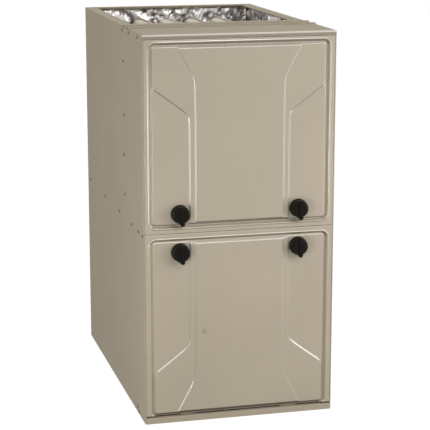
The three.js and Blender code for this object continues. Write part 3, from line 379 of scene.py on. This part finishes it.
# ---- Doors ---------------------------------------------------------------------------------
# Each door is one sheet pressed in a die: a flat rim, a groove all round and three levels of
# panel with soft bends between them. Its edges are folded back, and hooks hold its far end.
CASE_HALF = 0.22225
CASE_TOP = 0.889
DOOR_HALF = 0.2195
DOOR_DEEP = 0.024  # how far the folded edges reach back
DOOR_SHEET = 0.00125
EDGE_BEND = 0.0012
CLEAR_OF_BEND = 1.2 * EDGE_BEND  # where the rows on the face may start
GROOVE_DEEP = 0.00675
GROOVE_WALL = 0.0035  # run of the groove's outer wall
GROOVE_FLOOR_END = 0.0050
BEAD_HALF, BEAD_HIGH = 0.0022, 0.0008  # low bead along the rim, outside the groove
LEVEL = 0.00225  # height of one level over the last
RIM_HALF = 0.2075  # half width of the field inside the rim
RIM_CORNER = 0.014
RIM_NEAR = 0.0135  # rim along the joint of the doors
STEP_HALF = 0.0024  # half the run of the slope between two levels
FIELD_SOFT, LEVEL_SOFT, WALL_SOFT, FLOOR_SOFT = 0.008, 0.0008, 0.0010, 0.0005
STRIP_X, STRIP_KNEE, STRIP_END = 0.107, 0.179, (0.0198, 0.115)
CENTRE_X, CENTRE_KNEE, CENTRE_END = 0.120, 0.101, (0.078, 0.024)


def soft_max(a, b, softness):
    return 0.5 * (a + b + math.hypot(a - b, softness))


def soft_min(a, b, softness):
    return 0.5 * (a + b - math.hypot(a - b, softness))


def slope_up(distance):
    share = min(1.0, max(0.0, 0.5 + 0.5 * distance / STEP_HALF))
    return share * share * (3.0 - 2.0 * share)


def inside_line(u, t, upright, knee, end):
    """Distance inside a field whose edge runs up from its end, then straight from its knee.
    u is measured from the side of the casing, t from the door's own end of the casing."""
    run = Vector((upright - end[0], knee - end[1])).normalized()
    slanted = (u - upright) * run[1] - (t - knee) * run[0]
    return soft_max(u - upright, slanted, FIELD_SOFT)


def inside_rim(x, t, rim_far, rim_near):
    """Distance inside the groove's outer edge."""
    half = 0.5 * (rim_near - rim_far)
    out_x = abs(x) - (RIM_HALF - RIM_CORNER)
    out_t = abs(t - 0.5 * (rim_far + rim_near)) - (half - RIM_CORNER)
    beyond = math.hypot(max(out_x, 0.0), max(out_t, 0.0)) + min(max(out_x, out_t), 0.0)
    return RIM_CORNER - beyond


def pressed_depth(x, t, rim_far, rim_near):
    """Depth of the door's face behind its rim."""
    inward = inside_rim(x, t, rim_far, rim_near)
    u = CASE_HALF - abs(x)
    strip = slope_up(inside_line(u, t, STRIP_X, STRIP_KNEE, STRIP_END))
    centre = slope_up(inside_line(u, t, CENTRE_X, CENTRE_KNEE, CENTRE_END))
    field = soft_min(inward - GROOVE_FLOOR_END, LEVEL * (1.0 + strip + centre), LEVEL_SOFT)
    wall = soft_min(GROOVE_DEEP * (1.0 - inward / GROOVE_WALL), GROOVE_DEEP, WALL_SOFT)
    from_bead = min(1.0, abs(inward / BEAD_HALF + 1.0))
    bead = BEAD_HIGH * (1.0 - from_bead * from_bead) ** 2
    rise = soft_max(soft_max(field, 0.0, FLOOR_SOFT), wall, FLOOR_SOFT)
    return GROOVE_DEEP - bead - rise


# The grid is fine across the groove and the slopes, and wide on the level fields.
BORDER_PITCH, LINE_PITCH = 0.0004, 0.0006
BORDER_STEPS = [BORDER_PITCH * step for step in range(-12, 34)]
LINE_STEPS = [LINE_PITCH * step for step in range(-6, 7)]
SIDE_FIELD_SHARES = (0.25, 0.45, 0.669, 0.74, 0.812, 0.9)
STRIP_SHARES = (0.33, 0.67)
CENTRE_SHARES = (0.06, 0.129, 0.17, 0.211, 0.35, 0.5, 0.7, 0.85, 1.0)
COLUMN_GAP = 0.00012  # least distance between two columns
FIRST_ROW, ROW_PITCH, SLANT_ROWS_END = 0.004, 0.0042, 0.2
LEVEL_ROWS = [0.208, 0.216, 0.24, 0.27, 0.30, 0.33, 0.36, 0.38]
KNOB_ROW = 0.0055  # rows on both sides of a knob's middle


def line_place(t, upright, knee, end):
    """Where a field's edge crosses a row, and how much wider the slope is along the row."""
    if t >= knee:
        return upright, 1.0
    slant = (upright - end[0]) / (knee - end[1])
    return upright - (knee - t) * slant, math.hypot(1.0, slant)


def row_columns(t):
    """Places across one row of the half door, from its side to its middle."""
    strip, strip_wide = line_place(t, STRIP_X, STRIP_KNEE, STRIP_END)
    centre, centre_wide = line_place(t, CENTRE_X, CENTRE_KNEE, CENTRE_END)
    strip_zone = [strip + strip_wide * step for step in LINE_STEPS]
    centre_zone = [centre + centre_wide * step for step in LINE_STEPS]
    places = [CASE_HALF - RIM_HALF + step for step in BORDER_STEPS]
    for shares, zone in (
        (SIDE_FIELD_SHARES, strip_zone), (STRIP_SHARES, centre_zone), (CENTRE_SHARES, [CASE_HALF]),
    ):
        last = places[-1]
        places += [last + share * (zone[0] - last) for share in shares]
        if len(zone) > 1:
            places += zone
    for index in range(1, len(places)):
        places[index] = max(places[index], places[index - 1] + COLUMN_GAP)
    return [CASE_HALF - place for place in places]


def door_rows(far, rim_far, rim_near, knob_t):
    """Places of the rows from the far end of the door to the joint of the doors."""
    rows = [rim_far + step for step in BORDER_STEPS]
    t = rows[-1] + FIRST_ROW
    while t < SLANT_ROWS_END:
        rows.append(t)
        t += ROW_PITCH
    rows += LEVEL_ROWS
    rows += [knob_t - KNOB_ROW, knob_t, knob_t + KNOB_ROW]
    rows += [rim_near - step for step in reversed(BORDER_STEPS)]
    return [t for t in rows if t > far + CLEAR_OF_BEND]


def pressed_grid(far, near, rim_far, knob_t, inset):
    """Points of the outer face (inset 0) or the inner face of the sheet, row by row."""
    rim_near = near - RIM_NEAR
    part_way = 0.3 * EDGE_BEND
    bend = [(0.0, DOOR_DEEP), (0.0, EDGE_BEND), (part_way, part_way), (EDGE_BEND, 0.0)]
    half = DOOR_HALF - inset
    rows = [(far + inset + out, deep) for out, deep in bend]
    rows += [(t, 0.0) for t in door_rows(far, rim_far, rim_near, knob_t)]
    rows += [(near - inset - out, deep) for out, deep in reversed(bend)]
    grid = []
    for t, row_deep in rows:
        inner = row_columns(min(max(t, rim_far), rim_near))
        right = [(half - out, deep) for out, deep in bend] + [(x, 0.0) for x in inner]
        across = right + [(-x, deep) for x, deep in reversed(right[:-1])]
        line = []
        for x, deep in across:
            depth = pressed_depth(x, t, rim_far, rim_near) + inset
            edge = max(deep, row_deep)
            if edge == DOOR_DEEP:
                depth = DOOR_DEEP
            elif edge > 0.0:
                depth = max(depth, edge + inset)
            line.append((x, t, depth))
        grid.append(line)
    return grid


# Painted light on the doors, from the bends: above 0 a painted highlight, below 0 painted shade.
CREST_REACH = 0.0010  # how far off the bend is felt
WALL_START, WALL_PAINTED_SHADE = 0.0006, -0.8  # painted shade on the groove's outer wall
# Painted shadow in the gap behind the fold at a door's far end.
END_FOLD, END_FOLD_BEHIND, END_FOLD_PAINTED_SHADOW = 0.0004, 0.003, -12.0
# Painted shade along the rim in the lower half of each door.
LOW_RIM_PAINTED_SHADE, LOW_RIM_SIDES = -1.5, 0.004


def crest_at(x, t, rim_far, rim_near):
    """How sharply the face bends outward at a point, plus painted shade on the groove's outer wall.
    """
    around = sum(
        pressed_depth(x + dx, t + dt, rim_far, rim_near)
        for dx, dt in ((CREST_REACH, 0), (-CREST_REACH, 0), (0, CREST_REACH), (0, -CREST_REACH))
    )
    bend = (around - 4 * pressed_depth(x, t, rim_far, rim_near)) / (2 * CREST_REACH)
    on_outer_wall = WALL_START < inside_rim(x, t, rim_far, rim_near) < GROOVE_WALL
    return bend + WALL_PAINTED_SHADE if on_outer_wall else bend


FLANGE_IN, FLANGE_TALL, FLANGE_CLEAR = 0.006, 0.026, 0.0008  # along the joint of the doors
HOOK_X, HOOK_HALF, HOOK_ROOT = 0.12, 0.018, 0.001
DOOR_SAME_POINT = 1e-7


def pressed_door(name, far, near, rim_far, to_z, knob_z, hook_y, hook_reach, holes):
    """The pressed sheet with its folded edges, joint flange and hooks, in place of the node."""
    knob_t = to_z(knob_z)
    shape = bmesh.new()
    outer = pressed_grid(far, near, rim_far, knob_t, 0.0)
    inner = pressed_grid(far, near, rim_far, knob_t, DOOR_SHEET)
    sheets = [
        [[shape.verts.new((x, DOOR_FACE_Y + y, to_z(t))) for x, t, y in line] for line in grid]
        for grid in (outer, inner)
    ]
    tall, wide = len(outer), len(outer[0])

    def open_at(i, j):
        """Whether a cell of the grid lies in one of the round holes behind a knob or the plug."""
        if not (0 <= i < tall - 1 and 0 <= j < wide - 1):
            return True
        low, high = outer[i][j], outer[i + 1][j + 1]
        x, z = 0.5 * (low[0] + high[0]), to_z(0.5 * (low[1] + high[1]))
        return any(abs(x - hx) < reach and abs(z - hz) < reach for hx, hz, reach in holes)

    for i in range(tall - 1):
        for j in range(wide - 1):
            if open_at(i, j):
                continue
            corners = ((i, j), (i + 1, j), (i + 1, j + 1), (i, j + 1))
            for sheet in sheets:
                shape.faces.new([sheet[a][b] for a, b in corners])
            for step, (a, b) in (
                ((-1, 0), (corners[3], corners[0])),
                ((1, 0), (corners[1], corners[2])),
                ((0, -1), (corners[0], corners[1])),
                ((0, 1), (corners[2], corners[3])),
            ):
                if open_at(i + step[0], j + step[1]):
                    ring = ((0, a), (0, b), (1, b), (1, a))
                    shape.faces.new([sheets[side][row][column] for side, (row, column) in ring])
    flange = (
        (-DOOR_HALF + FLANGE_IN, DOOR_HALF - FLANGE_IN),
        (DOOR_DEEP - DOOR_SHEET, DOOR_DEEP),
        (near - FLANGE_TALL, near - FLANGE_CLEAR),
    )
    hooks = [
        ((x - HOOK_HALF, x + HOOK_HALF), hook_y, (far + HOOK_ROOT, far - hook_reach))
        for x in (-HOOK_X, HOOK_X)
    ]
    for (x0, x1), (y0, y1), (t0, t1) in [flange, *hooks]:
        block = bmesh.ops.create_cube(shape, size=1.0)["verts"]
        for vert in block:
            vert.co.x = x0 if vert.co.x < 0 else x1
            vert.co.y = DOOR_FACE_Y + (y0 if vert.co.y < 0 else y1)
            vert.co.z = to_z(t0 if vert.co.z < 0 else t1)
    bmesh.ops.remove_doubles(shape, verts=shape.verts, dist=DOOR_SAME_POINT)
    bmesh.ops.dissolve_degenerate(shape, edges=shape.edges, dist=DOOR_SAME_POINT)
    bmesh.ops.recalc_face_normals(shape, faces=shape.faces)
    mesh = bpy.data.meshes.new(name)
    shape.to_mesh(mesh)
    shape.free()
    # Painted light per point: bend highlight and shade, far fold shadow, lower rim shade.
    crest = mesh.attributes.new("crest", "FLOAT", "POINT")
    rim_near = near - RIM_NEAR
    middle_z = to_z(0.5 * (far + near))
    for index, vert in enumerate(mesh.vertices):
        x, y, z = vert.co
        t = to_z(z)
        tone = crest_at(x, t, rim_far, rim_near)
        on_border = -2 * BEAD_HALF < inside_rim(x, t, rim_far, rim_near) < GROOVE_WALL
        # Painted shadow behind the far fold, painted shade on the rim's lower half.
        if t < far + END_FOLD and y > DOOR_FACE_Y + END_FOLD_BEHIND:
            tone = END_FOLD_PAINTED_SHADOW
        elif on_border and z < middle_z and abs(x) < RIM_HALF - LOW_RIM_SIDES:
            tone = LOW_RIM_PAINTED_SHADE
        crest.data[index].value = tone
    piece = add_piece(name + "_pressed", mesh, door_enamel, body_of[name])
    flat_faces(piece)
    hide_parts(name)


# The enamel's colour carries a painted highlight on crests and on bends that face up, and
# painted shade under them.
door_enamel = baked_enamel("door_enamel", low_roughness=0.2, coat_roughness=0.12)
height = door_enamel.along("Z")
door_enamel.feed("Coat Weight", door_enamel.ramp(height, (0.25, 0.25), (0.5, 0.85)))
painted_light_tone = door_enamel.node("ShaderNodeAttribute", {"attribute_name": "crest"}, {}, "Fac")
CREST_TO_HIGHLIGHT, CREST_TO_SHADE = 0.6, 0.06  # how much a bend counts beside the facing, in the painted highlight and painted shade
faces_up = door_enamel.facing("Z")
# Painted highlight on slopes that face up.
up_slope_highlight = door_enamel.ramp(faces_up, (0.25, 0), (0.4, 0.9), (0.5, 0.85), (0.78, 0.15))
highlight_share = door_enamel.ramp(painted_light_tone * CREST_TO_HIGHLIGHT + up_slope_highlight, (0.12, 0), (0.85, 1))
# Painted shade on undersides and in hollows.
shade_amount = (0.0 - faces_up) - painted_light_tone * CREST_TO_SHADE
shade_share = door_enamel.ramp(shade_amount, (0.08, 0), (0.6, 0.85))
highlighted = door_enamel.mix(highlight_share, door_enamel.ground, BEIGE_PAINTED_HIGHLIGHT)
door_enamel.feed("Base Color", door_enamel.mix(shade_share, highlighted, BEIGE_PAINTED_SHADE))

KNOB_X = 0.13825
STEM_HOLE = 0.006
PLUG_AT = (-0.08225, 0.212, 0.004)
UPPER_KNOB_Z, LOWER_KNOB_Z = 0.4875, 0.3995
pressed_door(
    "upper_door",
    far=0.011,
    near=0.4453,
    rim_far=0.019,
    to_z=lambda t: CASE_TOP - t,
    knob_z=UPPER_KNOB_Z,
    hook_y=(0.004, 0.0052),
    hook_reach=0.006,
    holes=[(side * KNOB_X, UPPER_KNOB_Z, STEM_HOLE) for side in (-1, 1)],
)
pressed_door(
    "lower_door",
    far=0.0168,
    near=0.4433,
    rim_far=0.0135,
    to_z=lambda t: t,
    knob_z=LOWER_KNOB_Z,
    hook_y=(0.0095, 0.0107),
    hook_reach=0.0098,
    holes=[(side * KNOB_X, LOWER_KNOB_Z, STEM_HOLE) for side in (-1, 1)] + [PLUG_AT],
)
round_edges("lower_door_plug", enamel, 0.0004)

# ---- Latch knobs ---------------------------------------------------------------------------
# The four latch knobs are injection mouldings in glossy black nylon: a round grip with a
# pointer and a finger bar, over a steel cam.
nylon = Finish("black_nylon", metallic=0.0, specular_ior_level=0.09)
sheen = nylon.noise(60, 3)
nylon.feed("Base Color", nylon.mix(sheen, (0.004, 0.0035, 0.002), (0.009, 0.008, 0.005)))
nylon.feed("Roughness", 0.28 + 0.1 * sheen)
nylon.feed("Normal", nylon.bump(nylon.noise(700, 2), 0.00005, 0.5))

zinc = Finish("zinc_plate", metallic=1.0)
scratch = zinc.noise(30, 4, stretch=(1, 1, 14))
zinc.feed("Base Color", zinc.mix(scratch, (0.46, 0.46, 0.44), (0.66, 0.66, 0.64)))
zinc.feed("Roughness", 0.28 + 0.18 * scratch)

for level in ("upper", "lower"):
    for hand in ("left", "right"):
        round_edges(f"{level}_{hand}_knob", nylon, 0.0006, sharper_than=20)
        round_edges(f"{level}_{hand}_cam", zinc, 0.0003)

# ---- Heat exchanger cells ------------------------------------------------------------------
# Four clamshells of aluminised steel, crimped along their seams. The rolling lines of the
# sheet show, and the metal has yellowed a little from the oven that set the crimps.
aluminised = Finish("aluminised_steel", metallic=0.85)
rolled = aluminised.noise(900, 2, stretch=(1, 0.02, 1))
warm = aluminised.noise(14, 3)
aluminised.feed("Base Color", aluminised.mix(warm, (0.42, 0.37, 0.29), (0.62, 0.57, 0.47)))
aluminised.feed("Roughness", 0.34 + 0.12 * rolled + 0.1 * warm)
aluminised.feed("Normal", aluminised.bump(rolled, 0.00008, 0.6))

for number in range(1, 5):
    round_edges(f"heat_exchanger_cell_{number}", aluminised, 0.0005, segments=1, sharper_than=30)
    paint_node(f"burner_{number}", aluminised)
for metal_name in ("transition_box", "inducer_wheel"):
    paint_node(metal_name, aluminised)

# ---- Foil blankets -------------------------------------------------------------------------
# Glass fibre blankets with a bright aluminium foil face line the walls round the cells. The
# foil is creased all over from handling.
foil = Finish("creased_foil", metallic=1.0)
# The colour is much darker in random patches: a painted reflection of the dark cavity round the
# cells.
reflection_patches = foil.noise(36, 4)
bright = foil.ramp(reflection_patches, (0.38, 0), (0.62, 1))
foil.feed("Base Color", foil.mix(bright, (0.50, 0.46, 0.43), (0.94, 0.93, 0.95)))
foil.feed("Roughness", 0.22 + 0.16 * reflection_patches)
foil.feed("Normal", foil.bump(foil.noise(160, 3, warp=0.6), 0.0008, 0.7))

FOIL_STEP = 0.0045  # spacing of the points that the creases move
FOIL_DEPTH = 0.0065
UP_THE_WALL = 0.6  # folds are this much closer across the wall than up it
BROAD_FOLDS, FINE_FOLDS = 34.0, 83.0  # folds to a metre, roughly
BROAD_SHARE, FINE_SHARE, FLAT_SHARE = 1.9, 0.9, 1.7


def crease(point):
    """Depth of the creases at a point, 0 to 1: sharp folds at two sizes, longer up the wall."""
    long_way = Vector((point.x, point.y, point.z * UP_THE_WALL))
    broad = 1.0 - abs(noise.noise(long_way * BROAD_FOLDS))
    fine = 1.0 - abs(noise.noise(long_way * FINE_FOLDS + Vector((3.1, 7.7, 1.3))))
    return min(1.0, max(0.0, BROAD_SHARE * broad + FINE_SHARE * fine - FLAT_SHARE))


def creased_blanket(name, across):
    """A slab whose face towards the cells is creased. across is the axis it faces along."""
    low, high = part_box(name)
    inward = 1.0 if (low + high)[across] < 0 else -1.0
    flat = [axis for axis in range(3) if axis != across]
    counts = [max(2, round((high[axis] - low[axis]) / FOIL_STEP)) for axis in flat]
    shape = bmesh.new()
    grid = []
    for i in range(counts[0] + 1):
        row = []
        for j in range(counts[1] + 1):
            point = [0.0, 0.0, 0.0]
            for axis, step, count in zip(flat, (i, j), counts):
                point[axis] = low[axis] + (high[axis] - low[axis]) * step / count
            point[across] = high[across] if inward > 0 else low[across]
            inside = min(i, counts[0] - i, j, counts[1] - j) > 0
            depth = FOIL_DEPTH * crease(Vector(point)) if inside else 0.0
            point[across] -= inward * depth
            row.append(shape.verts.new(point))
        grid.append(row)
    for i in range(counts[0]):
        for j in range(counts[1]):
            shape.faces.new((grid[i][j], grid[i + 1][j], grid[i + 1][j + 1], grid[i][j + 1]))
    rim = [edge for edge in shape.edges if edge.is_boundary]
    walls = bmesh.ops.extrude_edge_only(shape, edges=rim)
    moved = [item for item in walls["geom"] if isinstance(item, bmesh.types.BMVert)]
    for vert in moved:
        vert.co[across] = low[across] if inward > 0 else high[across]
    back = [edge for edge in shape.edges if edge.is_boundary]
    bmesh.ops.contextual_create(shape, geom=back)
    bmesh.ops.recalc_face_normals(shape, faces=shape.faces)
    for face in shape.faces:
        face.smooth = False
    mesh = bpy.data.meshes.new(name)
    shape.to_mesh(mesh)
    shape.free()
    piece = add_piece(name + "_foil", mesh, foil, "casing")
    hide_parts(name)


creased_blanket("insulation_left", 0)
creased_blanket("insulation_right", 0)
creased_blanket("insulation_back", 1)

# ---- Galvanised inner sheets ---------------------------------------------------------------
# Shelf, cell panel, bottom closure, blower housing and trays are bare galvanised steel with
# the crystal pattern of hot-dip zinc.
galvanised = Finish("galvanised_sheet", metallic=0.9)
spangle = galvanised.cells(90, output="Color")
dull = galvanised.noise(9, 3)
crystal = 0.55 * spangle + 0.3 * dull
galvanised.feed("Base Color", galvanised.mix(crystal, (0.34, 0.35, 0.35), (0.62, 0.63, 0.62)))
galvanised.feed("Roughness", 0.3 + 0.16 * spangle + 0.1 * dull)
galvanised.feed("Normal", galvanised.bump(galvanised.noise(260, 2), 0.00006, 0.5))

for sheet_name in (
    "bottom_closure_panel", "blower_shelf", "cell_panel", "burner_box", "blower_housing",
    "blower_wheel", "motor_bracket", "control_tray",
):
    paint_node(sheet_name, galvanised)
paint_node("blower_shaft", zinc)

# ---- Coil ----------------------------------------------------------------------------------
# The condensing coil under the cells is a pack of thin aluminium fins on tubes.
fins = Finish("coil_fins", metallic=0.9)
fins_and_gap_shade = fins.node(
    "ShaderNodeTexWave", {"bands_direction": "Y"}, {"Vector": fins.place, "Scale": 160.0}
)
# The dark bands in the fins' colour are painted shade in the gaps between the fins.
fins.feed("Base Color", fins.mix(fins_and_gap_shade, (0.18, 0.18, 0.18), (0.68, 0.68, 0.69)))
fins.feed("Roughness", 0.35 + 0.2 * fins.noise(20, 3))
fins.feed("Normal", fins.bump(fins_and_gap_shade, 0.0006, 0.8))
paint_node("condensing_coil", fins)

# ---- Dark mouldings and motors -------------------------------------------------------------
# Collector, inducer housing, tubes, switches and trap are black filled plastics. The motors,
# manifold and transformer are steel with black paint.
moulding = Finish("black_moulding", metallic=0.0)
grain = moulding.noise(420, 3)
dust = moulding.noise(16, 3)
moulding.feed("Base Color", moulding.mix(dust, (0.014, 0.014, 0.015), (0.03, 0.03, 0.031)))
moulding.feed("Roughness", 0.42 + 0.16 * grain)
moulding.feed("Normal", moulding.bump(grain, 0.0001, 0.6))
for moulded in (
    "collector_box", "rollout_switch", "inducer_housing", "vent_tube", "air_tube",
    "pressure_switch", "condensate_trap", "door_switch",
):
    paint_node(moulded, moulding)

black_paint = Finish("black_paint", metallic=0.2)
peel = black_paint.noise(500, 3)
worn = black_paint.noise(24, 4)
black_paint.feed("Base Color", black_paint.mix(worn, (0.018, 0.018, 0.02), (0.045, 0.045, 0.048)))
black_paint.feed("Roughness", 0.34 + 0.18 * peel)
black_paint.feed("Normal", black_paint.bump(peel, 0.0001, 0.5))
for painted in ("gas_manifold", "inducer_motor", "blower_motor", "transformer"):
    paint_node(painted, black_paint)

# ---- Gas valve, sensors and controls -------------------------------------------------------
# The gas valve is an aluminium die casting. The sensors sit in white ceramic, the switches
# have red buttons, and the board is green laminate with copper tracks under its mask.
casting = Finish("die_casting", metallic=0.8)
skin = casting.noise(180, 4)
casting.feed("Base Color", casting.mix(skin, (0.42, 0.42, 0.42), (0.62, 0.62, 0.61)))
casting.feed("Roughness", 0.4 + 0.2 * skin)
casting.feed("Normal", casting.bump(skin, 0.0002, 0.5))
paint_node("gas_valve", casting)

bisque = Finish("white_ceramic", metallic=0.0)
pores = bisque.noise(300, 4)
bisque.feed("Base Color", bisque.mix(pores, (0.66, 0.62, 0.52), (0.82, 0.79, 0.7)))
bisque.feed("Roughness", 0.6 + 0.2 * pores)
bisque.feed("Normal", bisque.bump(pores, 0.0001, 0.6))
for ceramic_name in ("igniter", "flame_sensor"):
    paint_node(ceramic_name, bisque)

red = Finish("red_plastic", metallic=0.0)
tint = red.noise(80, 3)
red.feed("Base Color", red.mix(tint, (0.36, 0.012, 0.01), (0.5, 0.02, 0.015)))
red.feed("Roughness", 0.28 + 0.12 * tint)
for button in ("gas_valve_switch", "rollout_reset_button", "door_switch_plunger"):
    paint_node(button, red)

brass = Finish("plain_brass", metallic=1.0)
stain = brass.noise(60, 4)
brass.feed("Base Color", brass.mix(stain, (0.46, 0.31, 0.11), (0.66, 0.48, 0.2)))
brass.feed("Roughness", 0.26 + 0.2 * stain)
paint_node("limit_switch", brass)

board = Finish("circuit_board", metallic=0.0)
tracks = board.cells(170, "DISTANCE_TO_EDGE", stretch=(1, 1, 2.2))
masked = board.ramp(tracks, (0.02, 0), (0.05, 1))
board.feed("Base Color", board.mix(masked, (0.06, 0.26, 0.1), (0.012, 0.1, 0.04)))
board.feed("Roughness", 0.35 + 0.2 * board.noise(90, 3))
board.feed("Normal", board.bump(tracks, 0.0001, 0.4))
paint_node("control_board", board)

# ---- Sheet metal screws --------------------------------------------------------------------
# Quarter-inch hex washer head screws hold the shelf, the cell panel and the top sheet to the
# sides. Their dark zinc plating is bare, which tells them from the painted sheet.
SCREW_HEAD = 0.0032  # half the width across the flats of the hex head
SCREW_WASHER = 0.0048
SCREW_HEIGHT = 0.0024
SCREW_TAPER = 0.86  # width of the head's top over its foot
WASHER_THICK = 0.0009


def screw_tree():
    """Geometry nodes: a hex head on a washer at every point, turned to the point's facing."""
    tree = bpy.data.node_groups.new("hex_washer_screws", "GeometryNodeTree")
    face = tree.interface
    face.new_socket("Points", in_out="INPUT", socket_type="NodeSocketGeometry")
    for label, value in (("Head", SCREW_HEAD), ("Washer", SCREW_WASHER), ("Height", SCREW_HEIGHT)):
        face.new_socket(label, in_out="INPUT", socket_type="NodeSocketFloat").default_value = value
    face.new_socket("Finish", in_out="INPUT", socket_type="NodeSocketMaterial")
    face.new_socket("Screws", in_out="OUTPUT", socket_type="NodeSocketGeometry")

    def node(kind, settings, sockets, output=0):
        made = tree.nodes.new(kind)
        for key, value in settings.items():
            setattr(made, key, value)
        for key, value in sockets.items():
            if isinstance(value, bpy.types.NodeSocket):
                tree.links.new(value, made.inputs[key])
            else:
                made.inputs[key].default_value = value
        return made.outputs[output]

    sizes = tree.nodes.new("NodeGroupInput").outputs

    def disc(sides, foot, top, depth):
        return node(
            "GeometryNodeMeshCone",
            {},
            {"Vertices": sides, "Radius Bottom": foot, "Radius Top": top, "Depth": depth},
        )

    top = node("ShaderNodeMath", {"operation": "MULTIPLY"}, {0: sizes["Head"], 1: SCREW_TAPER})
    washer = disc(16, sizes["Washer"], top, WASHER_THICK)
    head = disc(6, sizes["Head"], top, sizes["Height"])
    both = tree.nodes.new("GeometryNodeJoinGeometry")
    tree.links.new(washer, both.inputs[0])
    tree.links.new(head, both.inputs[0])
    facing = node(
        "GeometryNodeInputNamedAttribute", {"data_type": "FLOAT_VECTOR"}, {"Name": "facing"}
    )
    turned = node("FunctionNodeAlignRotationToVector", {"axis": "Z"}, {"Vector": facing})
    placed = node(
        "GeometryNodeInstanceOnPoints",
        {},
        {"Points": sizes["Points"], "Instance": both.outputs[0], "Rotation": turned},
    )
    real = node("GeometryNodeRealizeInstances", {}, {"Geometry": placed})
    done = node("GeometryNodeSetMaterial", {}, {"Geometry": real, "Material": sizes["Finish"]})
    out = tree.nodes.new("NodeGroupOutput")
    tree.links.new(done, out.inputs[0])
    return tree


screws_on = screw_tree()


def add_screws(name, places, finish, body):
    """One piece of screws. places is a list of (point, outward direction)."""
    seeds = bpy.data.meshes.new(name + "_points")
    seeds.from_pydata([point for point, _ in places], [], [])
    facing = seeds.attributes.new("facing", "FLOAT_VECTOR", "POINT")
    for index, (_, outward) in enumerate(places):
        facing.data[index].vector = outward
    holder = bpy.data.objects.new(name + "_holder", seeds)
    bpy.context.scene.collection.objects.link(holder)
    maker = holder.modifiers.new("screws", "NODES")
    maker.node_group = screws_on
    for item in screws_on.interface.items_tree:
        if item.name == "Finish":
            maker[item.identifier] = finish.material
    bpy.context.view_layer.update()
    ready = holder.evaluated_get(bpy.context.evaluated_depsgraph_get())
    mesh = bpy.data.meshes.new_from_object(ready)
    bpy.data.objects.remove(holder)
    add_piece(name, mesh, finish, body)


# How far each screw is behind the doors' face, and how high.
SIDE_SCREW_PLACES = (
    [(depth, 0.440) for depth in (0.684, 0.469, 0.280, 0.135, 0.055, 0.011)]
    + [(0.212, height) for height in (0.809, 0.683, 0.590, 0.495)]
    + [(depth, 0.880) for depth in (0.221, 0.146, 0.048)]
    + [(0.086, 0.014), (0.073, 0.006)]
)
side_screws = [
    ((side * CASE_HALF, DOOR_FACE_Y + depth, height), (side, 0, 0))
    for side in (-1, 1)
    for depth, height in SIDE_SCREW_PLACES
]
dull_zinc = Finish("dull_zinc", metallic=0.6)
dulling = dull_zinc.noise(240, 3)
dull_zinc.feed("Base Color", dull_zinc.mix(dulling, (0.10, 0.075, 0.06), (0.22, 0.18, 0.15)))
dull_zinc.feed("Roughness", 0.34 + 0.2 * dulling)
add_screws("side_screws", side_screws, dull_zinc, "casing")
